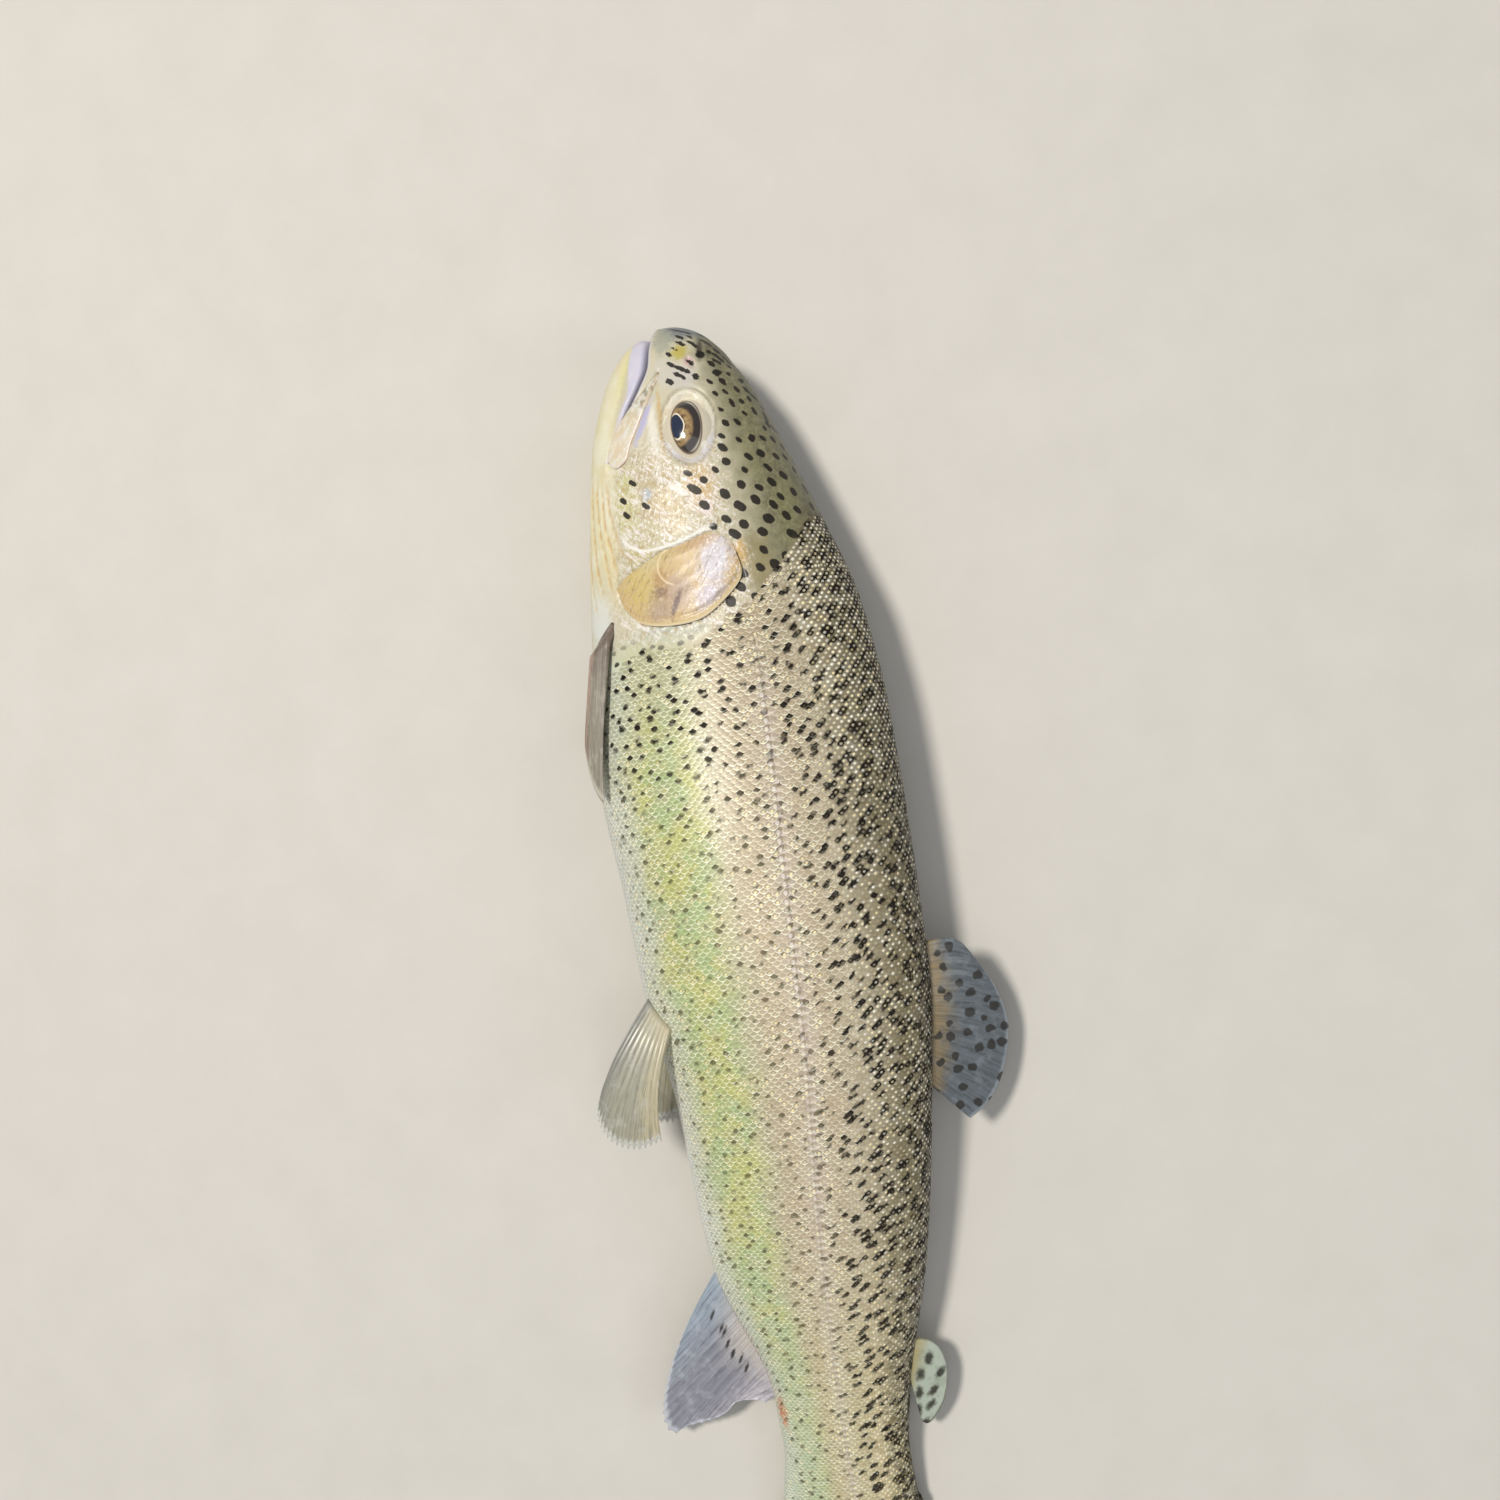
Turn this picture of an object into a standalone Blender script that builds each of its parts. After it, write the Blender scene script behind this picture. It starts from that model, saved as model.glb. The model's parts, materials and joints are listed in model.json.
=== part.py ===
"""A rainbow trout at life size, lying still on its right flank.

Lengths below are millimetres in the fish's own terms: "station" runs from the
snout towards the tail, "height" towards the back, "side" towards the left
flank. The last step lays the fish down: station becomes X, height becomes Y
and side becomes Z, with the floor at zero.
"""

import math

import bmesh
import bpy
from mathutils import Vector

MM = 0.001
GAP = 0.3
TOTAL_LENGTH = 340.0
STANDARD_LENGTH = 299.0

# Outline of the body as (station, millimetres).
BACK = (
    (0, 9.6), (5, 10.3), (10, 12.6), (15, 15.6), (20, 17.8), (28, 20.7), (48, 27.6), (70, 34.1),
    (95, 36.8), (125, 37.3), (153, 37.0), (188, 32.5), (222, 26.1), (256, 16.9),
    (270, 14.9), (303, 16.0),
)
BELLY = (
    (0, -12.4), (5.5, -14.2), (13, -18.5), (25, -23.1), (46, -26.8), (72, -30.0),
    (105, -32.6), (128, -30.8), (154, -29.3), (180, -25.9), (205, -25.1),
    (219, -24.0), (251, -15.3), (264, -15.0), (280, -17.4), (303, -18.6),
)
MIDDLE = (
    (0, -2.0), (12, -2.6), (24, -0.6), (50, 0.0), (75, 2.0), (120, 3.0),
    (160, 4.0), (205, 3.0), (250, 1.2), (303, -0.4),
)
HALF_WIDTH = (
    (0, 9.0), (6, 9.8), (14, 12.1), (23, 14.3), (36, 16.8), (52, 18.7), (66, 19.4),
    (90, 20.2), (120, 21.2), (140, 20.9), (165, 19.2), (195, 15.9), (225, 12.1),
    (250, 8.8), (272, 6.2), (288, 4.2), (299, 2.2), (303, 1.7),
)
BACK_FULLNESS = ((0, 2.2), (30, 2.25), (60, 2.0), (110, 1.95), (200, 1.95), (303, 2.1))
BELLY_FULLNESS = ((0, 2.1), (30, 1.95), (60, 1.95), (100, 2.15), (200, 2.15), (303, 2.1))
SNOUT_ROUND = 9.0

# How the fish lies: the head sinks and rolls a little, the tail sinks to the floor.
HEAD_SINK, HEAD_SINK_END = 1.3, 110.0
TAIL_SINK, TAIL_SINK_START, TAIL_SINK_END = 20.3, 150.0, 352.0
HEAD_ROLL, HEAD_ROLL_END = math.radians(4.0), 120.0
FLOOR_SIDE = -20.3

# Divisions of the body.
STEM_START = 232.0
JAW_END = 34.5
MOUTH_OPENING = 2.6
COVER_PROUD, COVER_DEPTH = 0.6, 2.4
MAXILLA_PROUD, MAXILLA_DEPTH = 0.8, 1.6
GILL_EDGE = (
    (48.0, 44.0), (51.0, 27.0), (57.5, 19.0), (62.0, 12.0), (64.5, 6.0), (66.0, -1.0), (66.0, -7.0),
    (64.0, -12.5), (60.0, -17.5), (55.5, -23.0), (51.0, -29.0), (47.0, -40.0),
)
COVER_FRONT = ((56.0, -19.8), (50.6, -17.4), (52.4, -10.5), (52.6, -3.0), (50.8, 4.4), (54.5, 8.8))
COVER_REAR = ((61.2, 10.0), (66.9, 5.6), (69.7, -0.5), (70.2, -6.5), (68.2, -11.8), (63.8, -16.4), (60.0, -18.9))
MOUTH_LINE = ((-6.0, -1.2), (4.7, -4.2), (11.0, -7.2), (18.7, -11.2), (27.0, -15.8), (JAW_END, -19.0))
MAXILLA = (
    (8.0, -2.4), (13.5, -4.0), (19.5, -6.6), (27.0, -9.6), (31.6, -11.8), (33.4, -14.8), (31.8, -17.4),
    (27.6, -17.0), (22.6, -13.8), (17.5, -10.2), (12.0, -7.2), (7.4, -5.4),
)
COVER_STATIONS = [36.0 + 5.0 * k for k in range(9)]
MAXILLA_STATIONS = [3.0 + 4.0 * k for k in range(10)]
STEM_EDGE = ((283.0, 22.0), (287.0, 13.0), (296.0, 7.0), (299.0, 0.0), (296.0, -7.4), (287.0, -14.0), (283.0, -22.0))

# Eyes.
EYE_STATION, EYE_HEIGHT, EYE_SIDE = 26.3, 2.9, 10.6
EYE_RADIUS, EYE_DEPTH = 7.1, 5.6

RING_POINTS = 32
FIN_EDGE_THICKNESS = 0.7

SKIN = (0.36, 0.37, 0.24, 1.0)
PALE_SKIN = (0.72, 0.70, 0.56, 1.0)
BONE = (0.66, 0.56, 0.42, 1.0)
FIN = (0.55, 0.56, 0.50, 1.0)
EYE = (0.03, 0.03, 0.04, 1.0)


def curve(stations, at):
    """A smooth line through the stations that never overshoots them."""
    if at <= stations[0][0]:
        return stations[0][1]
    if at >= stations[-1][0]:
        return stations[-1][1]
    i = max(k for k in range(len(stations) - 1) if stations[k][0] <= at)

    def slope(k):
        return (stations[k + 1][1] - stations[k][1]) / (stations[k + 1][0] - stations[k][0])

    def tangent(k):
        if k == 0:
            return slope(0)
        if k == len(stations) - 1:
            return slope(k - 1)
        a, b = slope(k - 1), slope(k)
        return 0.0 if a * b <= 0 else 2 * a * b / (a + b)

    width = stations[i + 1][0] - stations[i][0]
    u = (at - stations[i][0]) / width
    low, high = stations[i][1], stations[i + 1][1]
    return (
        low * (1 + 2 * u) * (1 - u) ** 2
        + high * u * u * (3 - 2 * u)
        + width * tangent(i) * u * (1 - u) ** 2
        - width * tangent(i + 1) * u * u * (1 - u)
    )


def smooth(a, b, at):
    """Zero before a, one after b, eased between."""
    u = min(max((at - a) / (b - a), 0.0), 1.0)
    return u * u * (3 - 2 * u)


def skin_point(station, angle, swell=0.0):
    """A point of the body's surface; angle 0 is the back, 90 the left flank, 180 the belly."""
    u = min(max(station / SNOUT_ROUND, 0.0), 1.0)
    rounding = math.sqrt(1 - (1 - u) ** 2)
    middle = curve(MIDDLE, station)
    a = math.radians(angle)
    up = math.cos(a) >= 0
    reach = curve(BACK, station) - middle if up else middle - curve(BELLY, station)
    power = 2 / curve(BACK_FULLNESS if up else BELLY_FULLNESS, station)
    height = (reach * rounding + swell) * math.copysign(abs(math.cos(a)) ** power, math.cos(a))
    side = (curve(HALF_WIDTH, station) * rounding + swell) * math.copysign(abs(math.sin(a)) ** power, math.sin(a))
    return Vector((station, middle + height, side))


def skin_normal(station, angle):
    """Outward direction of the body's surface."""
    along = skin_point(station + 0.5, angle) - skin_point(station - 0.5, angle)
    around = skin_point(station, angle + 1) - skin_point(station, angle - 1)
    return along.cross(around).normalized() * -1


def over_skin(station, angle, lift):
    """A point held off the skin."""
    return skin_point(station, angle) + skin_normal(station, angle) * lift


def body_stations():
    """Stations of the loft's rings, close together at the snout."""
    snout = [SNOUT_ROUND * (1 - math.cos(math.radians(a))) for a in (10, 24, 40, 58, 76)]
    head = [9.5 + 3.8 * k for k in range(16)]
    trunk = [73.0 + 8.2 * k for k in range(29)]
    return snout + head + trunk


def mesh_object(name, vertices, faces):
    """An object from points and faces, with its faces turned outward."""
    mesh = bpy.data.meshes.new(name)
    mesh.from_pydata([tuple(v) for v in vertices], [], faces)
    bm = bmesh.new()
    bm.from_mesh(mesh)
    bmesh.ops.recalc_face_normals(bm, faces=bm.faces)
    bm.to_mesh(mesh)
    bm.free()
    found = bpy.data.objects.new(name, mesh)
    bpy.context.collection.objects.link(found)
    return found


def loft(name, stations, swell=0.0):
    """The body's surface as one closed solid."""
    tip = (skin_point(stations[0], 0, swell) + skin_point(stations[0], 180, swell)) / 2
    vertices = [Vector((0.6 * stations[0] - max(swell, 0.0), tip.y, 0.0))]
    for s in stations:
        vertices += [skin_point(s, 360.0 * k / RING_POINTS, swell) for k in range(RING_POINTS)]
    faces = []
    for k in range(RING_POINTS):
        n = (k + 1) % RING_POINTS
        faces.append((0, 1 + k, 1 + n))
        for r in range(len(stations) - 1):
            a = 1 + r * RING_POINTS
            b = a + RING_POINTS
            faces.append((a + k, b + k, b + n, a + n))
    last = 1 + (len(stations) - 1) * RING_POINTS
    faces.append(tuple(last + k for k in range(RING_POINTS)))
    return mesh_object(name, vertices, faces)


def eased(points, steps=3):
    """Points of a smooth line through the given ones."""
    result = []
    for i in range(len(points) - 1):
        p0 = Vector(points[max(i - 1, 0)])
        p1, p2 = Vector(points[i]), Vector(points[i + 1])
        p3 = Vector(points[min(i + 2, len(points) - 1)])
        for k in range(steps):
            u = k / steps
            result.append(
                0.5 * (2 * p1 + (p2 - p0) * u + (2 * p0 - 5 * p1 + 4 * p2 - p3) * u * u
                       + (3 * p1 - p0 - 3 * p2 + p3) * u ** 3)
            )
    result.append(Vector(points[-1]))
    return result


def moved_along(points, shift):
    """The line with each point moved along the body."""
    return [Vector((p[0] + shift, p[1])) for p in points]


def grown(points, amount):
    """A closed outline with every point moved outward."""
    count = len(points)
    area = sum(
        points[k].x * points[(k + 1) % count].y - points[(k + 1) % count].x * points[k].y for k in range(count)
    )
    turn = 1 if area > 0 else -1
    result = []
    for k in range(count):
        way = (points[(k + 1) % count] - points[k - 1]).normalized()
        result.append(points[k] + Vector((way.y, -way.x)) * amount * turn)
    return result


def prism(name, outline, low, high):
    """A solid with the outline in the side view, from one side depth to another."""
    count = len(outline)
    vertices = [Vector((p[0], p[1], low)) for p in outline] + [Vector((p[0], p[1], high)) for p in outline]
    faces = [tuple(range(count)), tuple(reversed(range(count, 2 * count)))]
    for k in range(count):
        n = (k + 1) % count
        faces.append((k, n, count + n, count + k))
    return mesh_object(name, vertices, faces)


def ellipsoid(name, centre, radii, around=18, down=8):
    """A closed ball with its poles to the fish's sides."""
    vertices = [centre + Vector((0, 0, radii.z))]
    for r in range(1, down):
        a = math.pi * r / down
        for k in range(around):
            b = 2 * math.pi * k / around
            vertices.append(centre + Vector((
                radii.x * math.sin(a) * math.cos(b), radii.y * math.sin(a) * math.sin(b), radii.z * math.cos(a),
            )))
    vertices.append(centre - Vector((0, 0, radii.z)))
    faces = []
    for k in range(around):
        n = (k + 1) % around
        faces.append((0, 1 + k, 1 + n))
        for r in range(down - 2):
            a = 1 + r * around
            faces.append((a + k, a + around + k, a + around + n, a + n))
        a = 1 + (down - 2) * around
        faces.append((a + k, len(vertices) - 1, a + n))
    return mesh_object(name, vertices, faces)


def cut(target, tool, operation):
    """The target changed by a Boolean with the tool, worked out at once."""
    step = target.modifiers.new(operation.lower(), "BOOLEAN")
    step.object = tool
    step.operation = operation
    step.solver = "EXACT"
    bpy.context.view_layer.update()
    shaped = bpy.data.meshes.new_from_object(target.evaluated_get(bpy.context.evaluated_depsgraph_get()))
    target.modifiers.clear()
    target.data = shaped
    return target


def drop(*tools):
    """Removes the solids that only served to cut."""
    for tool in tools:
        bpy.data.objects.remove(tool)


def body_piece(name, outline):
    """The part of the body inside an outline of the side view."""
    piece = loft(name, body_stations())
    block = prism("block", outline, -40, 40)
    cut(piece, block, "INTERSECT")
    drop(block)
    return piece


def plate(name, outline, side, proud, depth, stations):
    """A thin plate that follows the skin inside an outline of one flank."""
    piece = loft(name, stations, proud)
    core = loft("core", stations, -depth)
    low, high = (1.0, 40.0) if side > 0 else (-40.0, -1.0)
    block = prism("block", outline, low, high)
    cut(piece, block, "INTERSECT")
    cut(piece, core, "DIFFERENCE")
    drop(core, block)
    return piece


def plate_seat(outline, side, depth, stations):
    """The room a plate takes up in the body, with the gap round it."""
    core = loft("core", stations, -depth - GAP)
    low, high = (1.0 - GAP, 40.0) if side > 0 else (-40.0, GAP - 1.0)
    seat = prism("seat", grown(outline, GAP), low, high)
    cut(seat, core, "DIFFERENCE")
    drop(core)
    return seat


def cover_outline():
    """Outline of a gill cover in the side view."""
    return eased(COVER_FRONT)[:-1] + eased(COVER_REAR)


def maxilla_outline():
    """Outline of an upper jaw bone in the side view."""
    return eased(MAXILLA + (MAXILLA[0],), 2)[:-1]


def jaw_outline(lower):
    """Outline of the lower jaw, moved down by the mouth's opening at the front."""
    line = eased(MOUTH_LINE, 2)
    edge = [p - Vector((0, lower * (1 - smooth(0, JAW_END - 6, p.x)) + GAP / 2)) for p in line]
    end = edge[-1].x - GAP / 2
    return edge[:-1] + [Vector((end, edge[-1].y)), Vector((end, -45)), Vector((-6, -45))]


def jaw_room():
    """The space the lower jaw and the open mouth take out of the head."""
    line = [p + Vector((0, GAP / 2)) for p in eased(MOUTH_LINE, 2)]
    end = line[-1].x + GAP / 2
    return line[:-1] + [Vector((end, line[-1].y)), Vector((end, -45)), Vector((-6, -45))]


def eye_centre(side):
    """Middle of an eyeball."""
    return Vector((EYE_STATION, EYE_HEIGHT, side * EYE_SIDE))


def build_head():
    """Skull, cheeks and throat, with the room for jaws, eyes and covers."""
    edge = moved_along(eased(GILL_EDGE), -GAP / 2)
    head = body_piece("head", [Vector((-8, 44))] + edge + [Vector((-8, -40))])
    jaw = prism("room", jaw_room(), -40, 40)
    cut(head, jaw, "DIFFERENCE")
    drop(jaw)
    for side in (1, -1):
        for outline, depth, stations in (
            (cover_outline(), COVER_DEPTH, COVER_STATIONS),
            (maxilla_outline(), MAXILLA_DEPTH, MAXILLA_STATIONS),
        ):
            seat = plate_seat(outline, side, depth, stations)
            cut(head, seat, "DIFFERENCE")
            drop(seat)
        socket = ellipsoid(
            "socket", eye_centre(side),
            Vector((EYE_RADIUS + GAP, EYE_RADIUS + GAP, EYE_DEPTH + GAP)),
        )
        cut(head, socket, "DIFFERENCE")
        drop(socket)
    return head


def build_lower_jaw():
    """The lower jaw, a little open at the front."""
    jaw = body_piece("lower_jaw", jaw_outline(MOUTH_OPENING))
    for side in (1, -1):
        seat = plate_seat(maxilla_outline(), side, MAXILLA_DEPTH, MAXILLA_STATIONS)
        cut(jaw, seat, "DIFFERENCE")
        drop(seat)
    return jaw


def build_trunk():
    """The body from the gill opening to the tail stem, with room for the covers' rear rims."""
    edge = moved_along(eased(GILL_EDGE), GAP / 2)
    trunk = body_piece("trunk", edge + [Vector((STEM_START, -40)), Vector((STEM_START, 44))])
    for side in (1, -1):
        seat = plate_seat(cover_outline(), side, COVER_DEPTH, COVER_STATIONS)
        cut(trunk, seat, "DIFFERENCE")
        drop(seat)
    return trunk


def build_tail_stem():
    """The tail stem up to the root of the tail fin."""
    front = STEM_START + GAP
    return body_piece("tail_stem", [Vector((front, -40)), Vector((front, 44))] + eased(STEM_EDGE))


def build_gill_cover(name, side):
    """One gill cover, standing a little proud of the skin."""
    return plate(name, cover_outline(), side, COVER_PROUD, COVER_DEPTH, COVER_STATIONS)


def build_maxilla(name, side):
    """The bone along one side of the upper jaw."""
    return plate(name, maxilla_outline(), side, MAXILLA_PROUD, MAXILLA_DEPTH, MAXILLA_STATIONS)


def build_eye(name, side):
    """One eyeball, flattened from side to side."""
    return ellipsoid(name, eye_centre(side), Vector((EYE_RADIUS, EYE_RADIUS, EYE_DEPTH)))


def ray(base, tip, rows, bend=Vector((0, 0, 0))):
    """Points from a fin ray's root to its tip, bowed by the bend."""
    line = []
    for k in range(rows + 1):
        u = k / rows
        line.append(base.lerp(tip, u) + bend * (4 * u * (1 - u)))
    return line


def fin(name, rays, root_thickness, ripple=0.16):
    """A closed thin sheet over the rays, thick at the root, every other line a ray."""
    columns, rows = len(rays), len(rays[0])
    sides = []
    for face in (1, -1):
        for c in range(columns):
            for r in range(rows):
                across = rays[min(c + 1, columns - 1)][r] - rays[max(c - 1, 0)][r]
                along = rays[c][min(r + 1, rows - 1)] - rays[c][max(r - 1, 0)]
                normal = along.cross(across).normalized()
                u = r / (rows - 1)
                thick = root_thickness + (FIN_EDGE_THICKNESS - root_thickness) * u ** 0.7
                thick *= 1 - (ripple if c % 2 else 0) * (1 - u)
                sides.append(rays[c][r] + normal * (face * thick / 2))
    half = columns * rows
    faces = []
    for c in range(columns - 1):
        for r in range(rows - 1):
            a, b = c * rows + r, (c + 1) * rows + r
            faces.append((a, a + 1, b + 1, b))
            faces.append((half + a, half + b, half + b + 1, half + a + 1))
    rim = [c * rows for c in range(columns)]
    rim += [(columns - 1) * rows + r for r in range(1, rows)]
    rim += [c * rows + rows - 1 for c in range(columns - 2, -1, -1)]
    rim += [r for r in range(rows - 2, 0, -1)]
    for k, a in enumerate(rim):
        b = rim[(k + 1) % len(rim)]
        faces.append((a, b, half + b, half + a))
    return mesh_object(name, sides, faces)


def share(k, count):
    """How far along the fin's base a ray stands, from 0 to 1."""
    return k / (count - 1)


def build_dorsal_fin():
    """The back fin, half laid back and leaning away to the lower side."""
    columns = 25
    apex = ((152.5, 45.6, -1.5), (162, 50.5, -6), (172, 52.5, -9), (182, 50, -8.5), (189, 45.5, -7), (192, 40.5, -4.5))
    tips = eased(apex, 6)
    rays = []
    for k in range(columns):
        u = share(k, columns)
        station = 149.5 + 32.5 * u
        base = Vector((station, curve(BACK, station) + GAP, 0))
        tip = tips[round(u * (len(tips) - 1))]
        rays.append(ray(base, tip, 4, Vector((-1.5, 1.5, 1.0)) * (1 - u)))
    return fin("dorsal_fin", rays, 2.2)


def build_anal_fin():
    """The fin behind the vent."""
    columns = 23
    edge = (
        (229.5, -31), (239.5, -37.2), (249.5, -41.6), (255.5, -42.8), (259.4, -41.2), (258.2, -37.4),
        (257.4, -33), (256, -28.4), (253, -24.8), (252.8, -19.6), (253.6, -17.4),
    )
    tips = eased(edge, 4)
    rays = []
    for k in range(columns):
        u = share(k, columns)
        station = 219.0 + 33.0 * u
        base = Vector((station, curve(BELLY, station) - GAP, 0))
        flat = tips[round(u * (len(tips) - 1))]
        rays.append(ray(base, Vector((flat.x, flat.y, -1.5 * math.sin(math.pi * u))), 4))
    return fin("anal_fin", rays, 2.0)


def build_adipose_fin():
    """The small fleshy fin before the tail."""
    columns, rows = 10, 4
    tips = eased(((249, 25.9), (253.5, 25.8), (258.2, 24.3), (262, 21.6), (263.3, 19.6), (262.2, 18.4)), 4)
    rays = []
    for k in range(columns):
        u = share(k, columns)
        station = 241.5 + 9.5 * u
        base = Vector((station, curve(BACK, station) + GAP, 0))
        flat = tips[round(u * (len(tips) - 1))]
        rays.append(ray(base, Vector((flat.x, flat.y, -1.2)), rows, Vector((-1.4, 1.7, 0)) * (1 - u)))
    return fin("adipose_fin", rays, 2.6, 0.0)


def build_caudal_fin():
    """The tail fin, spread and slightly forked."""
    columns = 33
    upper, lower, fork, reach = 28.5, -29.5, 12.5, TOTAL_LENGTH
    edge = eased(STEM_EDGE, 8)
    low = next(i for i, p in enumerate(edge) if p.y < curve(BACK, p.x) - 0.3)
    high = max(i for i, p in enumerate(edge) if p.y > curve(BELLY, p.x) + 0.3)
    root = edge[low:high + 1]
    rays = []
    for k in range(columns):
        u = share(k, columns)
        at = root[round(u * (len(root) - 1))]
        spread = 1 - 2 * u
        height = (upper if spread > 0 else -lower) * math.copysign(abs(spread) ** 0.92, spread)
        station = reach - fork * (1 - abs(spread)) ** 1.25 - 7.0 * max(abs(spread) - 0.93, 0) / 0.07
        base = Vector((at.x + GAP, at.y, 0))
        tip = Vector((station, height, 0))
        rays.append(ray(base, tip, 4, Vector((0, 1.2 * spread, 0))))
    return fin("caudal_fin", rays, 2.6)


def build_pelvic_fin(name, side):
    """A belly fin, half spread and swept back."""
    columns = 17
    tips = eased(((172, -40.4, 11), (177.6, -42.2, 12), (183.4, -39.6, 13), (185.6, -34, 13.6), (184.2, -28, 14)), 5)
    rays = []
    for k in range(columns):
        u = share(k, columns)
        base = over_skin(153.4 + 6.5 * u, 161 - 18 * u, GAP + 0.9)
        tip = tips[round(u * (len(tips) - 1))]
        line = ray(base, tip, 4, Vector((0, -1.2, 1.2)) * (1 - u) + Vector((0, -1.4, 2.2)) * u)
        rays.append([Vector((p.x, p.y, side * p.z)) for p in line])
    return fin(name, rays, 1.8)


def build_pectoral_fin(name, side):
    """A breast fin, folded back along the belly."""
    columns, rows = 15, 5
    rays = []
    for k in range(columns):
        u = share(k, columns)
        start = (67.5 + 4.5 * u, 137 + 15 * u)
        end = (107.5 - 13.0 * u ** 1.4, 149 + 19 * u)
        line = []
        for r in range(rows + 1):
            v = r / rows
            station = start[0] + (end[0] - start[0]) * v
            angle = start[1] + (end[1] - start[1]) * v
            p = over_skin(station, angle, GAP + 1.0 + 1.2 * v)
            line.append(Vector((p.x, p.y, side * p.z)))
        rays.append(line)
    return fin(name, rays, 1.8)


def laid_down(point):
    """A fish's point as it lies: rolled and sunk, with the flat under it."""
    roll = HEAD_ROLL * (1 - smooth(20, HEAD_ROLL_END, point.x))
    height = point.y * math.cos(roll) - point.z * math.sin(roll)
    side = point.y * math.sin(roll) + point.z * math.cos(roll)
    side -= HEAD_SINK * (1 - smooth(30, HEAD_SINK_END, point.x))
    side -= TAIL_SINK * smooth(TAIL_SINK_START, TAIL_SINK_END, point.x)
    return Vector((point.x, height, max(side, FLOOR_SIDE)))


def dress(piece, colour, roughness):
    """Gives a piece its own finish."""
    finish = bpy.data.materials.new(piece.name + "_finish")
    finish.use_nodes = True
    shader = finish.node_tree.nodes["Principled BSDF"]
    shader.inputs["Base Color"].default_value = colour
    shader.inputs["Roughness"].default_value = roughness
    piece.data.materials.clear()
    piece.data.materials.append(finish)


def lay_out(pieces):
    """Lays every piece down and sets the middle of the whole over the origin."""
    for piece in pieces:
        bm = bmesh.new()
        bm.from_mesh(piece.data)
        bmesh.ops.triangulate(bm, faces=bm.faces)
        for vertex in bm.verts:
            vertex.co = laid_down(vertex.co)
        bm.to_mesh(piece.data)
        bm.free()
    points = [vertex.co for piece in pieces for vertex in piece.data.vertices]
    low = [min(p[i] for p in points) for i in range(3)]
    high = [max(p[i] for p in points) for i in range(3)]
    shift = Vector(((low[0] + high[0]) / 2, (low[1] + high[1]) / 2, low[2]))
    for piece in pieces:
        for vertex in piece.data.vertices:
            vertex.co = (vertex.co - shift) * MM
    return shift


def main():
    """Builds the fish."""
    for found in list(bpy.data.objects):
        bpy.data.objects.remove(found)
    parts = (
        (build_head(), SKIN, 0.35),
        (build_lower_jaw(), PALE_SKIN, 0.35),
        (build_trunk(), SKIN, 0.3),
        (build_tail_stem(), SKIN, 0.3),
        (build_gill_cover("gill_cover_left", 1), BONE, 0.3),
        (build_gill_cover("gill_cover_right", -1), BONE, 0.3),
        (build_maxilla("maxilla_left", 1), BONE, 0.35),
        (build_maxilla("maxilla_right", -1), BONE, 0.35),
        (build_eye("eye_left", 1), EYE, 0.1),
        (build_eye("eye_right", -1), EYE, 0.1),
        (build_dorsal_fin(), FIN, 0.4),
        (build_adipose_fin(), FIN, 0.4),
        (build_caudal_fin(), FIN, 0.4),
        (build_anal_fin(), FIN, 0.4),
        (build_pelvic_fin("pelvic_fin_left", 1), FIN, 0.4),
        (build_pelvic_fin("pelvic_fin_right", -1), FIN, 0.4),
        (build_pectoral_fin("pectoral_fin_left", 1), FIN, 0.4),
        (build_pectoral_fin("pectoral_fin_right", -1), FIN, 0.4),
    )
    for piece, colour, roughness in parts:
        dress(piece, colour, roughness)
    shift = lay_out([piece for piece, _, _ in parts])
    print("origin in the fish's own terms:", [round(v, 3) for v in shift])


main()
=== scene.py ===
"""A rainbow trout at life size, lying on its right flank on a pale floor.

The fish is described in its own terms, in millimetres: station from snout to
tail, height towards the back, side towards the left flank. Angles run round
the body from the back (0) over the left flank (90) to the belly (180). The
last step of every piece lays it down as the fish rests and turns it to metres.
"""

import json
import logging
import math
from dataclasses import dataclass
from enum import Enum
from typing import Callable, Iterator, Sequence, Union

import bmesh
import bpy
import numpy as np
from mathutils import Matrix, Vector

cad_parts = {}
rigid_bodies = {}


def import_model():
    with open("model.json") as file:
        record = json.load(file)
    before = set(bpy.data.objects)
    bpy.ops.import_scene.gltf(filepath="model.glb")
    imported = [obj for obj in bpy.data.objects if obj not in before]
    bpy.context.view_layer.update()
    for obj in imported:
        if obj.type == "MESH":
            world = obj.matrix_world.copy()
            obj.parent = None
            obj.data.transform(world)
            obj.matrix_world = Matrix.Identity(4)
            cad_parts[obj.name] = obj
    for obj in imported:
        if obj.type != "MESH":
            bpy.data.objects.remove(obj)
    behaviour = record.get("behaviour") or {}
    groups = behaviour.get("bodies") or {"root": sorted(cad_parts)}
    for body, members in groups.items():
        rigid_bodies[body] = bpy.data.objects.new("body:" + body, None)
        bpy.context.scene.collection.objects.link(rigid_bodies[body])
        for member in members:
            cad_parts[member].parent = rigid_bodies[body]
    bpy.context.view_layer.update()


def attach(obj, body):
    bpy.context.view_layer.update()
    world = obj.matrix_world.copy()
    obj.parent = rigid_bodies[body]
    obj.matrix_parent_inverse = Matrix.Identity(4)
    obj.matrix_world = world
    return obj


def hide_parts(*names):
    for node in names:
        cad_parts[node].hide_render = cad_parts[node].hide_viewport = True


Array = np.ndarray
Colour = tuple[float, float, float]
Line = tuple[tuple[float, float], ...]
Faces = list[Sequence[int]]
Shape = Callable[[Array, Array], Array]
Amount = Union["Value", float]
Paint = Union["Value", Colour]
Material = bpy.types.Material
Piece = bpy.types.Object

MM = 0.001
log = logging.getLogger("trout")


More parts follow.
